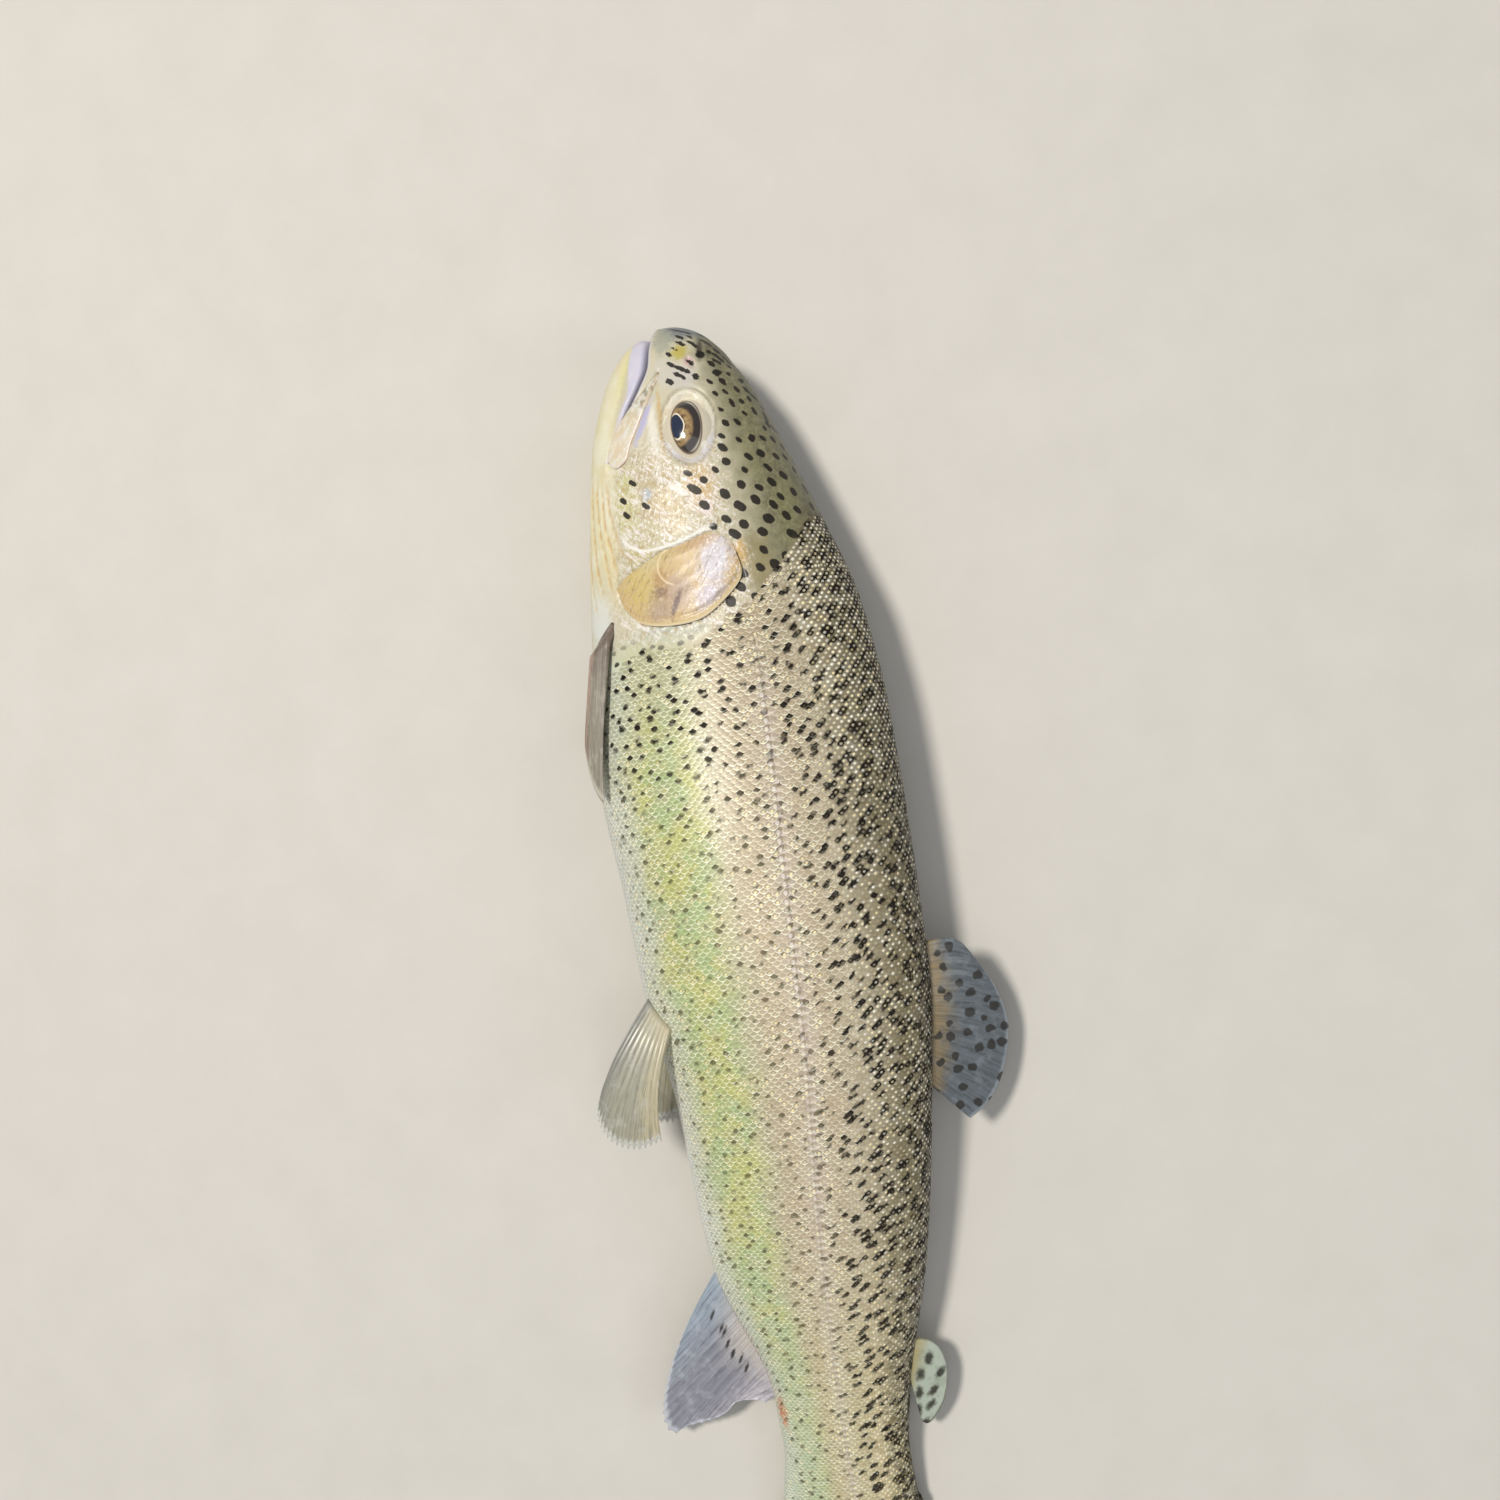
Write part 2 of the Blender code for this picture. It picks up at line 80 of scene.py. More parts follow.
def tint(red: int, green: int, blue: int) -> Colour:
    """A display colour of 0 to 255 as linear light."""
    return tuple(
        (c / 255 / 12.92) if c <= 10 else ((c / 255 + 0.055) / 1.055) ** 2.4 for c in (red, green, blue)
    )


def smooth(low: float, high: float, at: Array) -> Array:
    """Zero before low, one after high, eased between."""
    u = np.clip((np.asarray(at, float) - low) / (high - low), 0.0, 1.0)
    return u * u * (3 - 2 * u)


def fall(low: float, high: float, at: Array) -> Array:
    """One before low, zero after high, eased between."""
    return 1 - smooth(low, high, at)


def hump(at: Array, centre: float, width: float) -> Array:
    """A bell of height one about the centre."""
    return np.exp(-(((np.asarray(at, float) - centre) / width) ** 2))


# ---------------------------------------------------------------- the form


@dataclass(frozen=True)
class Profile:
    """A smooth line through a few stations that never overshoots them."""

    stations: Line

    def __call__(self, at: Array) -> Array:
        """The line's value at each station asked for.

        Args:
            at: stations in millimetres.

        Returns:
            An array of the same shape.
        """
        x, y = np.array(self.stations, float).T
        at = np.clip(np.asarray(at, float), x[0], x[-1])
        h, d = np.diff(x), np.diff(y) / np.diff(x)
        product = d[:-1] * d[1:]
        total = np.where(product > 0, d[:-1] + d[1:], 1.0)
        m = np.concatenate(([d[0]], np.where(product > 0, 2 * product / total, 0.0), [d[-1]]))
        i = np.clip(np.searchsorted(x, at, side="right") - 1, 0, len(x) - 2)
        u = (at - x[i]) / h[i]
        return (
            y[i] * (1 + 2 * u) * (1 - u) ** 2
            + y[i + 1] * u * u * (3 - 2 * u)
            + h[i] * m[i] * u * (1 - u) ** 2
            - h[i] * m[i + 1] * u * u * (1 - u)
        )


def between(a: float, b: float, c: float, d: float, at: Array) -> Array:
    """One from b to c, eased down to zero at a and at d."""
    return smooth(a, b, at) * fall(c, d, at)


def unit(v: Array) -> Array:
    """The same directions with a length of one."""
    return v / np.maximum(np.linalg.norm(v, axis=-1, keepdims=True), 1e-9)


def eased(points: Sequence[Sequence[float]], steps: int = 8) -> Array:
    """Points of a smooth line through the given ones.

    Args:
        points: the points the line passes through.
        steps: how many points each span gets.

    Returns:
        An array of points.
    """
    p = np.array(points, float)
    padded = np.vstack([p[:1], p, p[-1:]])
    out = []
    for i in range(len(p) - 1):
        p0, p1, p2, p3 = padded[i : i + 4]
        for u in np.arange(steps) / steps:
            out.append(
                0.5 * (2 * p1 + (p2 - p0) * u + (2 * p0 - 5 * p1 + 4 * p2 - p3) * u**2
                       + (3 * p1 - p0 - 3 * p2 + p3) * u**3)
            )
    return np.array(out + [p[-1]])


def along(line: Array, share: Array) -> Array:
    """Points at even shares of a line's length."""
    steps = np.concatenate(([0.0], np.cumsum(np.linalg.norm(np.diff(line, axis=0), axis=1))))
    at = np.asarray(share, float) * steps[-1]
    return np.stack([np.interp(at, steps, line[:, k]) for k in range(line.shape[1])], axis=-1)


def nearest(line: Array, x: Array, y: Array) -> tuple[Array, Array]:
    """Distance of points from a line in the side view, and the share of its length where it is nearest."""
    p = np.stack([x, y], axis=-1)
    best = np.full(x.shape, 1e9)
    where = np.zeros(x.shape)
    lengths = np.linalg.norm(np.diff(line, axis=0), axis=1)
    starts = np.concatenate(([0.0], np.cumsum(lengths)))
    for k in range(len(line) - 1):
        way = line[k + 1] - line[k]
        u = np.clip(((p - line[k]) @ way) / max(way @ way, 1e-12), 0, 1)
        d = np.linalg.norm(p - (line[k] + u[..., None] * way), axis=-1)
        near = d < best
        best = np.where(near, d, best)
        where = np.where(near, (starts[k] + u * lengths[k]) / starts[-1], where)
    return best, where


def inside(line: Array, x: Array, y: Array) -> Array:
    """Which points lie inside a closed outline of the side view."""
    found = np.zeros(x.shape, bool)
    previous = line[-1]
    for point in line:
        crosses = (point[1] > y) != (previous[1] > y)
        rise = previous[1] - point[1]
        at = (previous[0] - point[0]) * (y - point[1]) / (rise if rise else 1e-12) + point[0]
        found ^= crosses & (x < at)
        previous = point
    return found


@dataclass(frozen=True)
class Form:
    """The trout's body, and the way it lies."""

    back: Profile = Profile((
        (0, 9.6), (5, 10.3), (10, 12.6), (15, 15.6), (20, 17.8), (28, 20.7), (48, 27.6),
        (70, 34.1), (95, 36.8), (125, 37.3), (153, 37.0), (188, 32.5), (222, 26.1),
        (256, 16.9), (270, 14.9), (303, 16.0),
    ))
    belly: Profile = Profile((
        (0, -12.4), (5.5, -14.2), (13, -18.5), (25, -23.1), (46, -26.8), (72, -30.0),
        (105, -32.6), (128, -30.8), (154, -29.3), (180, -25.9), (205, -25.1),
        (219, -24.0), (251, -15.3), (264, -15.0), (280, -17.4), (303, -18.6),
    ))
    middle: Profile = Profile((
        (0, -2.0), (12, -2.6), (24, -0.6), (50, 0.0), (75, 2.0), (120, 3.0),
        (160, 4.0), (205, 3.0), (250, 1.2), (303, -0.4),
    ))
    half_width: Profile = Profile((
        (0, 9.0), (6, 9.8), (14, 12.1), (23, 14.3), (36, 16.8), (52, 18.7), (66, 19.4),
        (90, 20.2), (120, 21.2), (140, 20.9), (165, 19.2), (195, 15.9), (225, 12.1),
        (250, 8.8), (272, 6.2), (288, 4.2), (299, 2.2), (303, 1.7),
    ))
    back_fullness: Profile = Profile(((0, 2.2), (30, 2.25), (60, 2.0), (110, 1.95), (200, 1.95), (303, 2.1)))
    belly_fullness: Profile = Profile((
        (0, 2.1), (30, 1.95), (60, 1.95), (100, 2.15), (200, 2.15), (303, 2.1),
    ))
    lateral_line: Profile = Profile((
        (0, 4.0), (40, 9.0), (66, 10.5), (86, 11.2), (122, 10.0), (142, 9.3), (164, 8.3), (185, 6.5),
        (208, 4.2), (251, 1.2), (299, 0.0),
    ))
    snout_round: float = 9.0
    end: float = 299.0
    head_sink: float = 1.3
    head_sink_end: float = 110.0
    tail_sink: float = 20.3
    tail_sink_start: float = 150.0
    tail_sink_end: float = 352.0
    head_roll: float = math.radians(4.0)
    head_roll_end: float = 120.0
    fork_start: float = 276.0
    fork_depth: float = 16.0
    fork_height: float = -0.7
    fork_half: float = 17.0
    floor_side: float = -20.3
    origin: tuple[float, float, float] = (169.576, 4.961, -20.3)

    def rounding(self, station: Array) -> Array:
        """How far the snout's rounding lets the section open."""
        u = np.clip(station / self.snout_round, 0.0, 1.0)
        return np.sqrt(np.maximum(1 - (1 - u) ** 2, 0.0))

    def surface(self, station: Array, angle: Array) -> Array:
        """Points of the body's surface.

        Args:
            station: millimetres from the snout.
            angle: degrees round the body from the back.

        Returns:
            Points as (..., 3) of station, height and side.
        """
        station, angle = np.broadcast_arrays(np.asarray(station, float), np.asarray(angle, float))
        a = np.radians(angle)
        c, s = np.cos(a), np.sin(a)
        middle = self.middle(station)
        up = c >= 0
        reach = np.where(up, self.back(station) - middle, middle - self.belly(station))
        power = 2 / np.where(up, self.back_fullness(station), self.belly_fullness(station))
        rounding = self.rounding(station)
        height = middle + reach * rounding * np.sign(c) * np.abs(c) ** power
        side = self.half_width(station) * rounding * np.sign(s) * np.abs(s) ** power
        return np.stack([station, height, side], axis=-1)

    def normal(self, station: Array, angle: Array) -> Array:
        """Outward directions of the body's surface."""
        lengthwise = self.surface(station + 0.4, angle) - self.surface(np.maximum(station - 0.4, 0.02), angle)
        round_body = self.surface(station, angle + 1.0) - self.surface(station, angle - 1.0)
        return unit(-np.cross(lengthwise, round_body))

    def fork(self, station: Array, height: Array) -> Array:
        """Millimetres by which the skin ends earlier above and below the tail's middle."""
        away = np.abs(height - self.fork_height) / self.fork_half
        return smooth(self.fork_start, self.end, station) * self.fork_depth * away**1.9

    def angle_at(self, station: Array, height: Array) -> Array:
        """The left flank's angle where the body's surface has a height."""
        middle = self.middle(station)
        up = height >= middle
        reach = np.where(up, self.back(station) - middle, middle - self.belly(station))
        reach = reach * self.rounding(station)
        full = np.where(up, self.back_fullness(station), self.belly_fullness(station))
        share = np.clip(np.abs(height - middle) / np.maximum(reach, 1e-6), 0, 1) ** (full / 2)
        return np.degrees(np.arccos(np.where(up, share, -share)))

    def girth(self, station: Array, angle: Array) -> Array:
        """Millimetres over the surface from the back to an angle of 0 to 180 degrees."""
        stations = np.linspace(0.3, 303, 200)
        angles = np.linspace(0, 180, 181)
        ring = self.surface(stations[:, None], angles[None, :])
        steps = np.linalg.norm(np.diff(ring, axis=1), axis=-1)
        table = np.concatenate([np.zeros((len(stations), 1)), np.cumsum(steps, axis=1)], axis=1)
        i = np.clip(np.interp(station, stations, np.arange(len(stations))), 0, len(stations) - 1.001)
        j = np.clip(np.asarray(angle, float), 0, 179.999)
        i0, j0 = i.astype(int), j.astype(int)
        u, v = i - i0, j - j0
        low = table[i0, j0] * (1 - v) + table[i0, j0 + 1] * v
        high = table[i0 + 1, j0] * (1 - v) + table[i0 + 1, j0 + 1] * v
        return low * (1 - u) + high * u

    def marks(self, station: Array, angle: Array) -> Array:
        """Where a point stands among the markings.

        Args:
            station: millimetres from the snout.
            angle: degrees round the body, 0 to 360.

        Returns:
            Station, signed millimetres over the back (left positive), and the
            share of the way from the lateral line to back (1) or belly (-1).
        """
        station = np.asarray(station, float)
        folded = np.where(angle > 180, 360 - angle, angle)
        arc = self.girth(station, folded)
        line = self.girth(station, self.angle_at(station, self.lateral_line(station)))
        half = self.girth(station, np.full_like(station, 180.0))
        whole = np.maximum(np.where(arc < line, line, half - line), 1e-6)
        share = (line - arc) / whole
        return np.stack([station, np.where(angle > 180, -arc, arc), share], axis=-1)

    def lay(self, points: Array, clearance: float = 0.0) -> Array:
        """Points in the fish's terms as it lies on the floor, in metres.

        Args:
            points: (..., 3) of station, height and side.
            clearance: millimetres kept over the floor.

        Returns:
            Points as (..., 3) in the shared frame.
        """
        station, height, side = np.moveaxis(np.asarray(points, float), -1, 0)
        roll = self.head_roll * fall(20, self.head_roll_end, station)
        high = height * np.cos(roll) - side * np.sin(roll)
        out = height * np.sin(roll) + side * np.cos(roll)
        out = out - self.head_sink * fall(30, self.head_sink_end, station)
        out = out - self.tail_sink * smooth(self.tail_sink_start, self.tail_sink_end, station)
        out = np.maximum(out, self.floor_side + clearance)
        return (np.stack([station, high, out], axis=-1) - np.array(self.origin)) * MM


FORM = Form()

COVER_FRONT = eased((
    (59.4, -18.9), (57.4, -15.4), (55.4, -10.4), (53.9, -6.5), (53.3, -2.5), (52.3, 1.5),
    (51.6, 5.0), (53.2, 8.4),
))
COVER_REAR = eased((
    (61.4, -19.4), (65.4, -17.6), (69.2, -14.0), (70.8, -7.9), (70.6, -0.6), (67.8, 4.8),
    (62.9, 10.0), (57.6, 10.4),
))
COVER = np.vstack([COVER_FRONT, COVER_REAR[::-1]])
CHEEK_LINE = eased((
    (47.5, -17.0), (49.2, -15.8), (51.2, -14.4), (53.0, -11.6), (53.3, -8.2), (53.1, -4.0),
    (52.1, 0.1), (50.7, 3.7), (49.7, 6.9),
))
SCALE_START = eased((
    (46.0, 40.0), (49.5, 29.0), (51.0, 26.0), (60.0, 18.5), (66.5, 12.8), (68.4, 9.8), (70.4, 6.7),
    (72.6, 3.0), (75.4, -1.0), (76.0, -7.0), (75.0, -13.7), (76.0, -18.0), (78.0, -24.0),
    (74.0, -31.0), (68.0, -40.0),
))
MAXILLA_LINE = eased((
    (12.4, -2.5), (14.6, -3.8), (18.0, -6.4), (21.8, -9.7), (26.3, -13.1), (29.8, -14.8),
    (32.6, -15.7),
))
MAXILLA_HALF = Profile(((0, 0.5), (0.2, 1.1), (0.4, 1.85), (0.65, 2.65), (0.88, 2.9), (1.0, 2.6)))
UPPER_LIP = Profile((
    (0, -3.0), (6.2, -4.3), (10.7, -4.9), (15.7, -7.4), (20.0, -10.6), (27.0, -15.4),
    (31.0, -17.8), (40, -19.0),
))
LOWER_LIP = Profile((
    (0, -6.2), (6.0, -6.4), (10.7, -7.0), (15.7, -9.3), (20.0, -12.1), (27.0, -16.0),
    (31.0, -17.9), (40, -19.05),
))
LIP_BAND = Profile((
    (0, -8.4), (4.2, -8.8), (9.2, -9.6), (15.7, -10.4), (19.7, -12.6), (24.0, -15.2), (40, -19.5),
))
FOLDS = tuple(eased(line, 6) for line in (
    ((34.0, -18.4), (42.0, -18.4), (50.0, -17.0), (54.5, -15.6)),
    ((35.0, -19.8), (44.7, -20.3), (52.0, -19.0), (58.0, -18.4)),
    ((32.0, -21.4), (44.2, -22.0), (54.0, -21.0), (62.0, -20.4)),
    ((30.0, -22.6), (42.0, -23.9), (54.2, -24.0), (63.0, -22.6)),
    ((33.0, -24.0), (46.0, -26.0), (58.0, -26.4), (66.0, -25.6)),
))
MOUTH_END = 31.0
JAW_FRONT, JAW_ROUND, JAW_AXIS = 1.7, 3.4, -8.6

EYE_AT = (26.9, 2.9)
EYE_HOLE = (7.3, 4.0)
EYE_RIM_AT, EYE_RIM = (26.6, 3.2), (9.0, 6.2)
BALL = (8.6, 7.4, 5.2)
BALL_PROUD = 1.35


# ---------------------------------------------------------------- shading


class Value:
    """A shader socket that takes part in Python arithmetic."""

    def __init__(self, graph: "Graph", socket: bpy.types.NodeSocket) -> None:
        """Wraps a socket of the graph's tree."""
        self.graph, self.socket = graph, socket

    def call(self, operation: str, *others: Amount, clamp: bool = False) -> "Value":
        """A Math node on this value and the others."""
        node = self.graph.node("ShaderNodeMath", {"operation": operation, "use_clamp": clamp})
        for socket, value in zip(node.inputs, (self, *others)):
            self.graph.feed(socket, value)
        return Value(self.graph, node.outputs[0])

    def __add__(self, other: Amount) -> "Value":
        """Sum."""
        return self.call("ADD", other)

    def __sub__(self, other: Amount) -> "Value":
        """Difference."""
        return self.call("SUBTRACT", other)

    def __rsub__(self, other: float) -> "Value":
        """Difference from a number."""
        return self * -1.0 + other

    def __mul__(self, other: Amount) -> "Value":
        """Product."""
        return self.call("MULTIPLY", other)

    def __truediv__(self, other: Amount) -> "Value":
        """Quotient."""
        return self.call("DIVIDE", other)

    def __pow__(self, other: float) -> "Value":
        """Power."""
        return self.call("POWER", other)

    __radd__, __rmul__ = __add__, __mul__

    def clamp(self) -> "Value":
        """Held between zero and one."""
        return self.call("ADD", 0.0, clamp=True)

    def smooth(self, low: Amount, high: Amount) -> "Value":
        """Zero before low, one after high, eased between."""
        node = self.graph.node("ShaderNodeMapRange", {"interpolation_type": "SMOOTHSTEP"})
        self.graph.feed(node.inputs["Value"], self)
        self.graph.feed(node.inputs["From Min"], low)
        self.graph.feed(node.inputs["From Max"], high)
        return Value(self.graph, node.outputs["Result"])

    def fade(self, low: Amount, high: Amount) -> "Value":
        """One before low, zero after high, eased between."""
        return 1.0 - self.smooth(low, high)


class Graph:
    """A material's node tree, built by expressions."""

    def __init__(self, name: str) -> None:
        """Makes the material and keeps its Principled shader.

        Args:
            name: the material's name.
        """
        self.material = bpy.data.materials.new(name)
        self.material.use_nodes = True
        self.tree = self.material.node_tree
        self.shader = self.tree.nodes["Principled BSDF"]

    def feed(self, socket: bpy.types.NodeSocket, value: object) -> None:
        """Links a value to a socket, or sets a constant."""
        if isinstance(value, Value):
            self.tree.links.new(value.socket, socket)
        elif isinstance(value, (tuple, list)) and len(value) == 3 and len(socket.default_value) == 4:
            socket.default_value = (*value, 1.0)
        else:
            socket.default_value = value

    def node(self, kind: str, settings: dict | None = None, inputs: dict | None = None) -> bpy.types.Node:
        """A node of any type, with its settings and socket values.

        Args:
            kind: the node's type name.
            settings: attributes of the node.
            inputs: values by socket name or number.

        Returns:
            The node.
        """
        node = self.tree.nodes.new(kind)
        for key, value in (settings or {}).items():
            setattr(node, key, value)
        for key, value in (inputs or {}).items():
            self.feed(node.inputs[key], value)
        return node

    def split(self, at: Value) -> tuple[Value, Value, Value]:
        """The three numbers of a vector or a colour."""
        return tuple(Value(self, s) for s in self.node("ShaderNodeSeparateXYZ", inputs={0: at}).outputs)

    def attribute(self, name: str) -> tuple[Value, Value, Value, Value]:
        """A vector attribute of the mesh, whole and by its three numbers."""
        vector = Value(self, self.node("ShaderNodeAttribute", {"attribute_name": name}).outputs["Vector"])
        return vector, *self.split(vector)

    def vector(self, x: Amount, y: Amount, z: Amount = 0.0) -> Value:
        """A vector of three numbers."""
        return Value(self, self.node("ShaderNodeCombineXYZ", inputs={0: x, 1: y, 2: z}).outputs[0])

    def noise(self, at: Value, scale: float, detail: float = 2.0, roughness: float = 0.5,
              output: str = "Fac") -> Value:
        """Soft noise of 0 to 1 over a position; the output "Color" has three numbers that differ."""
        inputs = {"Vector": at, "Scale": scale, "Detail": detail, "Roughness": roughness}
        return Value(self, self.node("ShaderNodeTexNoise", inputs=inputs).outputs[output])

    def turned(self, at: Value, degrees: float, squeeze: float) -> Value:
        """A flat position turned by an angle, then drawn out along its new first axis."""
        x, y, _ = self.split(at)
        c, s = math.cos(math.radians(degrees)), math.sin(math.radians(degrees))
        return self.vector((x * c + y * s) * squeeze, y * c - x * s)

    def chance(self, at: Value) -> Value:
        """A random number of 0 to 1 that is fixed for each position."""
        return Value(self, self.node("ShaderNodeTexWhiteNoise", inputs={"Vector": at}).outputs[0])

    def cells(self, at: Value, scale: float, randomness: float) -> tuple[Value, Value]:
        """Distance from the middle of scattered cells, in the position's units, and each cell's chance."""
        inputs = {"Vector": at, "Scale": scale, "Randomness": randomness}
        node = self.node("ShaderNodeTexVoronoi", {"voronoi_dimensions": "2D"}, inputs)
        luck, _, _ = self.split(Value(self, node.outputs["Color"]))
        return Value(self, node.outputs["Distance"]) / scale, luck

    def mix(self, share: Amount, a: Paint, b: Paint) -> Value:
        """Two colours mixed."""
        node = self.node("ShaderNodeMix", {"data_type": "RGBA"})
        for number, value in ((0, share), (6, a), (7, b)):
            self.feed(node.inputs[number], value)
        return Value(self, node.outputs[2])

    def layers(self, colour: Paint, *coats: tuple[Amount, Paint]) -> Value:
        """Colours laid over a ground one by one, each by its own share."""
        for share, coat in coats:
            colour = self.mix(share, colour, coat)
        return colour

    def shift(self, at: Value, by: Value, amount: float) -> Value:
        """A position pushed about by a vector noise."""
        for operation, inputs in (
            ("SUBTRACT", {1: (0.5, 0.5, 0.5)}), ("SCALE", {"Scale": amount}), ("ADD", {1: at}),
        ):
            node = self.node("ShaderNodeVectorMath", {"operation": operation}, {0: by, **inputs})
            by = Value(self, node.outputs[0])
        return by

    def bump(self, height: Value, strength: float, distance: float) -> None:
        """Sets the shader's normal from a height."""
        inputs = {"Height": height, "Strength": strength, "Distance": distance}
        node = self.node("ShaderNodeBump", inputs=inputs)
        self.feed(self.shader.inputs["Normal"], Value(self, node.outputs[0]))

    def finish(self, colour: Paint, roughness: Amount,
               **others: object) -> Material:
        """Sets the shader's sockets and gives the material.

        Args:
            colour: base colour.
            roughness: roughness.
            others: further sockets by name, with _ for a space.

        Returns:
            The finished material.
        """
        self.feed(self.shader.inputs["Base Color"], colour)
        self.feed(self.shader.inputs["Roughness"], roughness)
        for key, value in others.items():
            self.feed(self.shader.inputs[key.replace("_", " ")], value)
        return self.material


class Side(Enum):
    """A flank of the fish."""

    LEFT = 1
    RIGHT = -1

    @property
    def label(self) -> str:
        """The side's name."""
        return self.name.lower()


@dataclass(frozen=True)
class Patch:
    """A soft area of the head with its own colour."""

    station: float
    height: float
    length: float
    depth: float
    colour: Colour
    strength: float = 1.0
    lean: float = 0.0


@dataclass(frozen=True)
class Markings:
    """The colours and spots that skin and scales share."""

    ridge: Colour = tint(64, 56, 30)
    back: Colour = tint(138, 125, 88)
    upper: Colour = tint(188, 174, 142)
    band: Colour = tint(208, 192, 164)
    lime: Colour = tint(212, 214, 130)
    mint: Colour = tint(182, 205, 142)
    low: Colour = tint(218, 224, 204)
    belly: Colour = tint(236, 240, 238)
    spot: Colour = tint(24, 16, 9)
    grey_spot: Colour = tint(76, 70, 42)
    smear: tuple[Patch, ...] = (
        Patch(238, -18.6, 13, 2.2, tint(240, 220, 214), 0.85, 0.34),
        Patch(254.2, -13.2, 4.6, 1.3, tint(216, 122, 66), 0.85, 0.05),
    )
    head: tuple[Patch, ...] = (
        Patch(40, -7, 10, 6, tint(198, 184, 150)),
        Patch(41, -14, 10, 4, tint(204, 198, 146)),
        Patch(46, -4, 6, 5, tint(216, 197, 158), 0.85),
        Patch(49.5, -9, 3.5, 6, tint(202, 194, 160), 0.7),
        Patch(41, 4, 6, 4.2, tint(206, 176, 124), 0.9),
        Patch(46, 4.5, 2.2, 2.2, tint(228, 206, 202), 0.8),
        Patch(57.2, 11.0, 3.4, 1.5, tint(224, 184, 112), 0.9),
        Patch(60, 14, 8, 4.0, tint(142, 128, 84), 0.7),
        Patch(13, -1, 4.5, 3.5, tint(206, 200, 186), 0.9),
        Patch(15, 3, 4, 3.6, tint(204, 198, 190), 0.9),
        Patch(28, -5.0, 10, 1.3, tint(232, 226, 212), 0.9),
        Patch(40.3, -1.7, 5, 1.2, tint(240, 234, 228), 0.8, 1.1),
        Patch(25, -3.0, 9, 0.7, tint(204, 172, 118), 0.8),
        Patch(23.8, -7.2, 5.5, 1.15, tint(186, 184, 216), 0.95, -0.49),
        Patch(1.5, 3.5, 4.5, 7.0, tint(112, 120, 126), 0.95),
        Patch(5.5, -1, 4, 2.6, tint(164, 166, 150), 0.8),
        Patch(8.7, 2.7, 2.2, 2.3, tint(190, 176, 88), 0.95),
        Patch(11.2, 4.6, 1.7, 1.4, tint(202, 172, 168), 0.95),
        Patch(8.4, 7.0, 2.8, 0.8, tint(54, 50, 42), 0.9),
        Patch(40.7, -8.4, 1.7, 1.4, tint(170, 184, 204), 0.8),
        Patch(54.0, -12, 3, 4.5, tint(196, 184, 128), 0.8),
        Patch(50, -19.4, 14, 2.0, tint(222, 202, 142), 0.6),
        Patch(72.5, -7, 3.4, 10, tint(188, 192, 178), 0.9),
        Patch(66, -25, 9, 4, tint(224, 228, 226), 0.8),
        Patch(11, -11.6, 9, 1.3, tint(224, 218, 150), 0.8, -0.3),
        Patch(20, -16, 10, 2, tint(234, 232, 214), 0.7, -0.4),
    )

    def paint(self, g: Graph, colour: Value, place: Value, patches: Sequence[Patch]) -> Value:
        """Lays soft patches over a colour.

        Args:
            g: the graph to build in.
            colour: the ground.
            place: position in millimetres.
            patches: the patches, in order.

        Returns:
            A colour.
        """
        station, height, _ = g.split(place)
        ragged = (g.noise(place, 0.8, 5, 0.7) - 0.5) * 1.7
        for patch in patches:
            dx = (station - patch.station) / patch.length
            dy = (height - patch.height - (station - patch.station) * patch.lean) / patch.depth
            away = (dx * dx + dy * dy).call("SQRT") + ragged
            colour = g.mix(away.fade(0.35, 1.25) * patch.strength, colour, patch.colour)
        return colour

    def flank(self, g: Graph, place: Value, share: Value, station: Value) -> Value:
        """The fish's ground colour.

        Args:
            g: the graph to build in.
            place: position for the noise, in millimetres.
            share: 1 at the back, 0 on the lateral line, -1 at the belly.
            station: millimetres from the snout.

        Returns:
            A colour.
        """
        at = share + (g.noise(place, 0.09, 4, 0.6) - 0.5) * 0.2
        tail, front = station.smooth(200, 262), 1.0 - station.smooth(78, 112)
        shoulder = station.fade(90, 150) * at.smooth(0.25, 0.6)
        sheen = g.layers(
            self.lime,
            (g.noise(place, 0.1, 4, 0.65).smooth(0.42, 0.58), self.mint),
            (g.noise(place, 0.23, 3).smooth(0.5, 0.64) * 0.5, tint(206, 204, 158)),
        )
        middle = (1.0 - at.call("ABSOLUTE").smooth(0.03, 0.24)) * (1.0 - tail)
        rosy = g.mix(middle * g.noise(place, 0.3, 3).smooth(0.35, 0.6), self.band, tint(212, 190, 160))
        lime = at.smooth(-0.76, -0.54) * at.fade(-0.4, -0.16) * station.smooth(72, 105) * 0.92
        colour = g.layers(
            self.belly,
            (at.smooth(-0.9, -0.72), self.low),
            (at.smooth(-0.72, -0.54), tint(206, 210, 172)),
            (lime, sheen),
            (tail * at.fade(-0.5, -0.15) * 0.6, tint(200, 216, 188)),
            (at.smooth(-0.4, -0.16), g.mix(tail * 0.8, rosy, tint(214, 202, 156))),
            (front * at.smooth(-0.8, -0.3) * 0.35, tint(176, 160, 130)),
            (at.smooth(0.2, 0.42), g.mix(tail * 0.8, self.upper, tint(212, 193, 142))),
        )
        return g.layers(
            self.paint(g, colour, place, self.smear),
            (at.smooth(0.4, 0.66), self.back),
            (shoulder * 0.45, tint(90, 80, 50)),
            (at.smooth(0.68, 0.92), self.ridge),
        )

